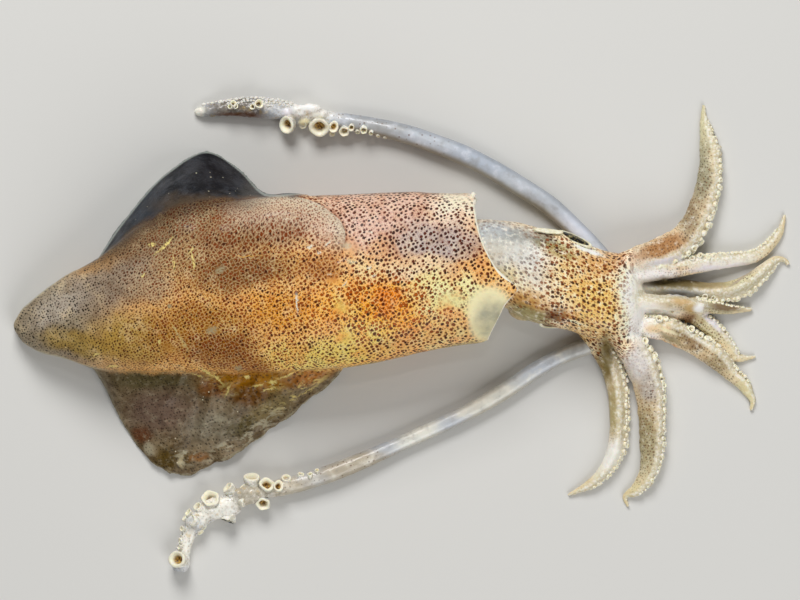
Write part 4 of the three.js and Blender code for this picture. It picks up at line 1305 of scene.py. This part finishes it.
# The sucker's outline from its foot to the bottom of its mouth: radius and height, as shares of its radius
SUCKER_OUTLINE = [
    (0.8, -0.5), (0.82, -0.1), (0.86, 0.3), (0.97, 0.7), (1.06, 1.0), (1.08, 1.2), (0.98, 1.32), (0.84, 1.3),
    (0.66, 1.18), (0.58, 0.95), (0.44, 0.7), (0.18, 0.6),
]
SMALL_OUTLINE = [
    (0.5, -0.5), (0.86, 0.05), (1.04, 0.5), (0.96, 0.95), (0.66, 1.22), (0.36, 1.16), (0.16, 1.0),
]
CLUB_SUCKER_SIDES = 20
ARM_SUCKER_SIDES = 8
# Large open suckers of the arms: the arm, the share of its length, the radius, and how far up they stand
ARM_CUPS = [
    ("arm_f", 0.27, 0.9, 30), ("arm_f", 0.33, 0.55, 25), ("arm_f", 0.44, 0.9, 25), ("arm_f", 0.5, 0.6, 30),
    ("arm_f", 0.55, 0.7, 15), ("arm_g", 0.2, 0.9, 20), ("arm_g", 0.27, 0.8, 15), ("arm_g", 0.4, 0.8, 10),
    ("arm_g", 0.45, 0.6, 30), ("arm_g", 0.66, 0.75, 5), ("arm_a", 0.36, 0.85, 10), ("arm_a", 0.4, 0.75, 25),
    ("arm_a", 0.43, 0.7, 5), ("arm_a", 0.5, 0.85, 10), ("arm_a", 0.53, 0.7, 20), ("arm_b", 0.42, 0.7, 20),
    ("arm_b", 0.46, 0.8, 10), ("arm_b", 0.5, 0.6, 30), ("arm_e", 0.42, 0.8, 60), ("arm_e", 0.46, 0.7, 40),
    ("arm_e", 0.38, 0.7, 80), ("arm_c", 0.5, 0.7, 10), ("arm_c", 0.54, 0.6, 0),
]
# x, y of the mouth, radius, and the direction it faces
CLUB_SUCKERS = [
    (-29, 52.6, 2.1, -0.55, -0.3, 0.8), (-24.8, 52.6, 1.0, -0.3, -0.5, 0.7),
    (-20.6, 51.9, 2.4, -0.1, -0.4, 0.9), (-17.0, 52.2, 1.3, 0, -0.1, 1), (-17.4, 50.4, 0.8, 0, -0.6, 0.6),
    (-14.4, 50.9, 1.25, 0, -0.4, 0.9), (-12.6, 51.9, 0.8, 0, -0.4, 0.9), (-9.5, 51.2, 0.9, 0, -0.5, 0.8),
    (-11, 50.8, 0.6, 0, -0.7, 0.6), (-7.7, 50.5, 0.6, 0, -0.7, 0.6), (-5.9, 49.8, 0.5, 0, -0.8, 0.5),
    (-4.2, 49.4, 0.4, 0, -0.8, 0.5), (-35.6, 58, 1.1, 0.2, 0.2, 1), (-37.4, 57.2, 0.7, -0.4, -0.1, 0.9),
    (-42, 58.2, 0.8, 0.1, 0.4, 0.9), (-43, 57.4, 0.6, -0.3, 0.3, 0.9), (-41.4, 57.4, 0.6, 0.4, 0.1, 0.9),
    (-47.9, -40.6, 2.1, -0.05, 0.4, 0.9), (-43.7, -37.9, 1.6, -0.7, 0.65, 0.35),
    (-37.5, -35.2, 1.9, 0, 0.8, 0.5), (-39.6, -38.2, 1.2, -0.5, 0.6, 0.5),
    (-33.6, -37.1, 1.75, 0.1, 0.3, 0.95), (-30.7, -37.5, 1.3, 0.4, 0.35, 0.85),
    (-28.9, -35.5, 1.1, 0, 0.6, 0.75), (-25.2, -34.6, 0.75, 0, 0.8, 0.6), (-22.9, -34.5, 0.65, 0, 0.8, 0.6),
    (-21.2, -33.6, 0.55, 0, 0.8, 0.6), (-34.7, -42.3, 1.65, 0.05, -0.35, 0.93),
    (-43.6, -46.6, 1.8, -0.15, -1, 0.05), (-39.4, -41.8, 1.0, 0.95, -0.1, 0.2),
    (-50.2, -49.4, 0.9, 0.5, -0.7, 0.4), (-49.4, -48.2, 0.8, 0.7, -0.5, 0.5),
    (-51.2, -42.7, 1.1, -0.5, 0.6, 0.6), (-53.6, -44.2, 1.0, -0.6, 0.6, 0.5),
    (-54.6, -45.6, 0.7, -0.8, 0.4, 0.4), (-52.6, -46.2, 1.4, -0.8, 0.25, 0.5),
    (-55.2, -48.4, 0.7, -0.9, 0.1, 0.4), (-55.6, -51.4, 0.65, -0.9, 0, 0.5), (-55.8, -53, 0.55, -0.9, 0, 0.4),
    (-56.4, -55.9, 2.2, -0.6, 0.3, 0.75),
]
# Rows of tiny suckers on the clubs: first and last share of the length, how far round from the left side,
# in degrees, and the radius
CLUB_ROWS = {
    "left_tentacle": [
        (0.8, 0.985, 176, 0.46), (0.81, 0.95, 152, 0.42), (0.8, 0.93, 128, 0.38), (0.79, 0.88, 104, 0.36),
        (0.66, 0.7, 12, 0.4), (0.705, 0.76, 14, 0.5),
    ],
    "right_tentacle": [(0.88, 0.985, 172, 0.42), (0.8, 0.93, 150, 0.42), (0.84, 0.92, 20, 0.36)],
}


def sucker_model(name, sides, outline, grey=0.0):
    """One sucker of radius 1 mm at the origin, opening upwards, closed under its foot."""
    radius, height = outline[0]
    bpy.ops.mesh.primitive_circle_add(
        vertices=sides, radius=radius * MM, fill_type="NGON", location=(0, 0, height * MM)
    )
    piece = bpy.context.object
    piece.name = name
    bpy.ops.object.transform_apply(location=True, rotation=True, scale=True)
    bpy.ops.object.mode_set(mode="EDIT")
    bpy.ops.mesh.select_all(action="SELECT")
    for next_radius, next_height in outline[1:]:
        centre = (0, 0, next_height * MM)
        rise = (0, 0, (next_height - height) * MM)
        bpy.ops.mesh.extrude_region_move(TRANSFORM_OT_translate={"value": rise})
        bpy.ops.transform.resize(value=(next_radius / radius,) * 3, center_override=centre)
        radius, height = next_radius, next_height
    close_mesh()
    bpy.ops.object.shade_smooth()
    ring = np.arange(len(piece.data.vertices)) // sides
    large = np.full(len(ring), float(sides > ARM_SUCKER_SIDES))
    keep(piece, "cup", np.stack([ring / (len(outline) - 1), large, 0 * large + grey], axis=1))
    return piece


def another(model):
    """A copy with a mesh of its own."""
    copy = model.copy()
    copy.data = model.data.copy()
    bpy.context.collection.objects.link(copy)
    return copy


def place_sucker(model, mouth, radius, facing, draw):
    """A copy of the sucker with its mouth at a place, slightly oval, turned and leaned by chance."""
    copy = another(model)
    facing = Vector(facing).normalized()
    lean = Vector([draw.gauss(0, 0.16) for _ in range(3)])
    turn = (facing + lean).to_track_quat("Z", "Y").to_matrix().to_4x4()
    spin = Matrix.Rotation(draw.uniform(0, 2 * math.pi), 4, "Z")
    oval = Matrix.Diagonal((radius * draw.uniform(0.88, 1.12), radius * draw.uniform(0.88, 1.12), radius, 1))
    foot = Vector(mouth) * MM - facing * 1.25 * radius * MM
    copy.data.transform(Matrix.Translation(foot) @ turn @ spin @ oval)
    return copy


def bend_sucker(model, foot, mouth, radius, facing, draw):
    """A copy of the sucker whose wall bends from a foot inside the limb to a mouth that faces some way."""
    copy = another(model)
    foot, mouth = np.array(foot), np.array(mouth)
    facing = np.array(facing) / np.linalg.norm(facing) + np.array([draw.gauss(0, 0.08) for _ in range(3)])
    bend = mouth - facing * 0.6 * np.linalg.norm(mouth - foot)
    places = corners(copy)
    up = (places[:, 2:] - places[:, 2].min()) / np.ptp(places[:, 2])
    middle = (1 - up) ** 2 * foot + 2 * up * (1 - up) * bend + up ** 2 * mouth
    heading = (1 - up) * (bend - foot) + up * (mouth - bend)
    heading /= np.linalg.norm(heading, axis=1, keepdims=True)
    across = np.cross(heading, (0.31, 0.94, -0.14))
    across /= np.linalg.norm(across, axis=1, keepdims=True)
    over = np.cross(heading, across)
    depth, waves = draw.uniform(0.02, 0.08), draw.choice((3, 4, 5))
    ripple = 1 + depth * np.sin(waves * np.arctan2(places[:, 1], places[:, 0]))
    oval = draw.uniform(0.88, 1.12)
    spread = places[:, :1] * oval * across + places[:, 1:2] / oval * over
    set_corners(copy, middle + radius * ripple[:, None] * spread)
    return copy


def out_at(side, angle, wide=1, high=1):
    """Out of a limb, so far round from its side to straight up, as far as an oval of some size."""
    return side * (math.cos(angle) * wide) + np.array([0, 0, math.sin(angle) * high])


ROW_HEIGHTS = {-1: -8, 1: 22}  # how far up the limb's side each row lies, in degrees
draw = random.Random(11)
bpy.ops.object.select_all(action="DESELECT")
small_sucker = sucker_model("small_sucker", ARM_SUCKER_SIDES, SMALL_OUTLINE)
arm_suckers = []
for arm in ARMS.values():
    start, end = arm["suckers"]
    for row in (-1, 1):
        share = start + (0.012 if row > 0 else 0)
        while share < end:
            middle, left, wide, high = arm["course"].at(share)
            radius = (0.19 + 0.19 * wide) * draw.uniform(0.65, 1.3)
            up = math.radians(ROW_HEIGHTS[row]) + draw.gauss(0, 0.08)
            outwards = left * arm["facing"]
            spread = out_at(outwards, up, wide, high)
            from_face = abs(up - math.radians(arm["turn"]))
            spread *= 1 + section_growth(arm, share, wide, from_face)
            look = up * 0.6 + 0.25 + draw.gauss(0, 0.2)
            faces = out_at(outwards, look)
            mouth = middle + spread + faces * radius * 0.75
            mouth[2] = max(mouth[2], radius)
            arm_suckers.append(place_sucker(small_sucker, mouth, radius, faces, draw))
            share += 2.3 * radius / arm["course"].reach[-1]
bpy.data.objects.remove(small_sucker)
arm_cups = join(*arm_suckers)
arm_cups.name = "arm_suckers"

club_sucker = sucker_model("club_sucker", CLUB_SUCKER_SIDES, SUCKER_OUTLINE)
club_suckers = []
for x, y, radius, facing_x, facing_y, facing_z in CLUB_SUCKERS:
    facing = Vector((facing_x, facing_y, facing_z)).normalized()
    course = TENTACLES["left_tentacle" if y > 0 else "right_tentacle"]["course"]
    away = np.hypot(course.middle[:, 0] - x, course.middle[:, 1] - y)
    ring = away.argmin()
    beside = min(away[ring] / course.wide[ring], 1)
    base = course.middle[ring, 2] + course.high[ring] * math.sqrt(1 - beside ** 2)
    mouth = (x, y, max(base + facing.z * radius, radius * 1.05) + 0.8)
    club_suckers.append(bend_sucker(club_sucker, course.middle[ring], mouth, radius, facing, draw))
for name, share, radius, upwards in ARM_CUPS:
    arm = ARMS[name]
    middle, left, wide, high = arm["course"].at(share)
    angle = facing_angle(arm) + math.radians(upwards) * arm["facing"]
    faces = out_at(left, angle)
    spread = out_at(left, angle, wide, high)
    spread *= 1 + section_growth(arm, share, wide, math.radians(upwards))
    mouth = middle + spread + faces * radius * 0.8
    foot = middle + spread * 0.5
    club_suckers.append(bend_sucker(club_sucker, foot, mouth, radius, faces + np.array([0, 0, 0.35]), draw))
bpy.data.objects.remove(club_sucker)
bpy.ops.object.select_all(action="DESELECT")
tiny_sucker = sucker_model("tiny_sucker", ARM_SUCKER_SIDES, SMALL_OUTLINE, grey=1.0)
for name, rows in CLUB_ROWS.items():
    course = TENTACLES[name]["course"]
    for start, end, round_by, size in rows:
        share = start
        while share < end:
            middle, left, wide, high = course.at(share)
            radius = size * draw.uniform(0.75, 1.25)
            angle = math.radians(round_by) + draw.gauss(0, 0.12)
            faces = out_at(left, angle)
            mouth = middle + out_at(left, angle, wide, high) + faces * radius * 0.9
            mouth[2] = max(mouth[2], radius)
            club_suckers.append(place_sucker(tiny_sucker, mouth, radius, faces, draw))
            share += 2.2 * radius / course.reach[-1]
bpy.data.objects.remove(tiny_sucker)
club_cups = join(*club_suckers)
club_cups.name = "club_suckers"

for suckers in (arm_cups, club_cups):
    lay_down(suckers)

cup_paint = Paint("sucker_flesh")
where = cup_paint.place()
cup = cup_paint.axis(cup_paint.attribute("cup"), "X")
cloud = cup_paint.noise(where, 1.4 * MM, 3.0)
large = cup.part("Y")
wall = cup_paint.mix(cup.part("Z"), (240, 230, 196), (204, 200, 194))
wall = cup_paint.mix(large, wall, (204, 200, 184))
flesh = cup_paint.mix(cloud.rise(0.4, 0.64), wall, (250, 247, 236))
brim = cup_paint.mix(cup.part("Z"), (252, 246, 222), (226, 224, 218))
flesh = cup_paint.mix(cup.rise(0.42, 0.58), flesh, brim)
grain = cup_paint.noise(where, 0.6 * MM).rise(0.4, 0.6)
hollow = cup_paint.mix(grain, (96, 62, 22), (196, 158, 84))
closed = cup_paint.mix(cup.part("Z"), (222, 208, 164), (196, 190, 176))
hollow = cup_paint.mix(large, closed, hollow)
flesh = cup_paint.mix(cup.rise(0.76, 0.94), flesh, hollow)
cup_paint.finish(
    Base_Color=flesh, Roughness=cloud * 0.2 + 0.3, IOR=FLESH_IOR, Specular_IOR_Level=0.25,
    Subsurface_Weight=0.3, Subsurface_Radius=(1.0, 0.8, 0.5), Subsurface_Scale=0.3 * MM, Coat_Weight=0.12,
    Coat_Roughness=0.1, Normal=cup_paint.bump(cloud, 0.2, 0.1 * MM),
)
for suckers in (arm_cups, club_cups):
    coat(suckers, cup_paint)
    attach(suckers, "root")
    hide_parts("squid")


# ---- Eyes ----
# Each eye looks sideways out of the head's flank: a glassy dark ball behind a slit between two pale lids. The
# upper lid of the left one is a loose strip that stands off the head.
EYES = [
    {"at": (42.9, 23.9, 12.7), "along": (0.91, -0.4, -0.05), "looks": (0.3, 0.6, 0.72), "half_long": 4.4,
     "open": 0.25},
    {"at": (37.6, 3.2, 9.4), "along": (0.98, -0.14, 0.0), "looks": (0.05, -0.8, 0.6), "half_long": 3.0,
     "open": 0.42},
]
LID_STRIP = ((32.7, 26.5), (40.2, 25.6))  # x, y of its ends
LID_THICKNESS = 0.5
LID_RISE = 0.25


def turned_to(along, looks):
    """A rotation that lays X along the slit and Z out of the eye."""
    out = Vector(looks).normalized()
    side = out.cross(Vector(along)).normalized()
    return Matrix((side.cross(out), side, out)).transposed().to_4x4()


eyes, lids = [], []
for eye in EYES:
    turn = Matrix.Translation(Vector(eye["at"]) * MM) @ turned_to(eye["along"], eye["looks"])
    half_long = eye["half_long"]
    eyeball = ball((0, 0, 0), segments=32, rings=20)
    eyeball.data.transform(turn @ Matrix.Diagonal((half_long, half_long * (eye["open"] + 0.06), 0.8, 1)))
    bpy.ops.object.shade_smooth()
    eyes.append(eyeball)
    bpy.ops.mesh.primitive_torus_add(
        major_radius=MM, minor_radius=LID_THICKNESS / half_long * MM, major_segments=48, minor_segments=12
    )
    lid = bpy.context.object
    oval = Matrix.Diagonal((half_long, half_long * eye["open"], half_long, 1))
    lid.data.transform(turn @ (Matrix.Translation((0, 0, LID_RISE * MM)) @ oval))
    lids.append(lid)
bpy.ops.mesh.primitive_grid_add(x_subdivisions=24, y_subdivisions=5, size=2)
strip = bpy.context.object
t, across = corners(strip)[:, :2].T * MM
places = np.zeros((len(t), 3))
for axis in (0, 1):
    places[:, axis] = np.interp(t, (-1, 1), [end[axis] for end in LID_STRIP])
places[:, 1] += 0.5 * across * (1 - t ** 4)
surface = corners(head)
for place in places:
    near = np.hypot(surface[:, 0] - place[0], surface[:, 1] - place[1]) < 0.8
    place[2] = surface[near, 2].max() + 0.3
set_corners(strip, places)
apply_modifier(strip, "SOLIDIFY", thickness=LID_THICKNESS * MM, offset=0)
apply_modifier(strip, "SUBSURF", levels=2, render_levels=2)
lids.append(strip)
eyeballs = join(*eyes)
eyeballs.name = "eyes"
eyelids = join(*lids)
eyelids.name = "eyelids"
bpy.ops.object.shade_smooth()

glass = Paint("eye_glass")
where = glass.place()
streak = glass.noise(where, 0.9 * MM, 3.0)
eye_colour_and_highlights = glass.mix(streak.rise(0.5, 0.62), (26, 24, 18), (120, 108, 66))
# Pale streaks over the dark glass are painted highlights
eye_colour_and_highlights = glass.mix(streak.rise(0.66, 0.74), eye_colour_and_highlights, (214, 214, 196))
right = glass.axis(where, "Y").rise(0.02, 0.01)
eye_colour_and_highlights = glass.mix(right * 0.75, eye_colour_and_highlights, (112, 92, 44))
glass.finish(Base_Color=eye_colour_and_highlights, Roughness=0.12, IOR=1.4, Coat_Weight=0.8, Coat_Roughness=0.04)
lid_skin = Paint("eyelid_skin")
cloud = lid_skin.noise(lid_skin.place(), 1.2 * MM, 3.0)
lid_skin.finish(
    Base_Color=lid_skin.mix(cloud.rise(0.35, 0.65), (228, 220, 184), (248, 244, 220)),
    Roughness=cloud * 0.2 + 0.25, IOR=FLESH_IOR, Subsurface_Weight=0.3, Subsurface_Radius=(1.0, 0.8, 0.6),
    Subsurface_Scale=0.3 * MM, Coat_Weight=0.35, Coat_Roughness=0.1,
    Normal=lid_skin.bump(cloud, 0.2, 0.1 * MM),
)
for piece, finish in ((eyeballs, glass), (eyelids, lid_skin)):
    coat(piece, finish)
    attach(piece, "root")
    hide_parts("squid")
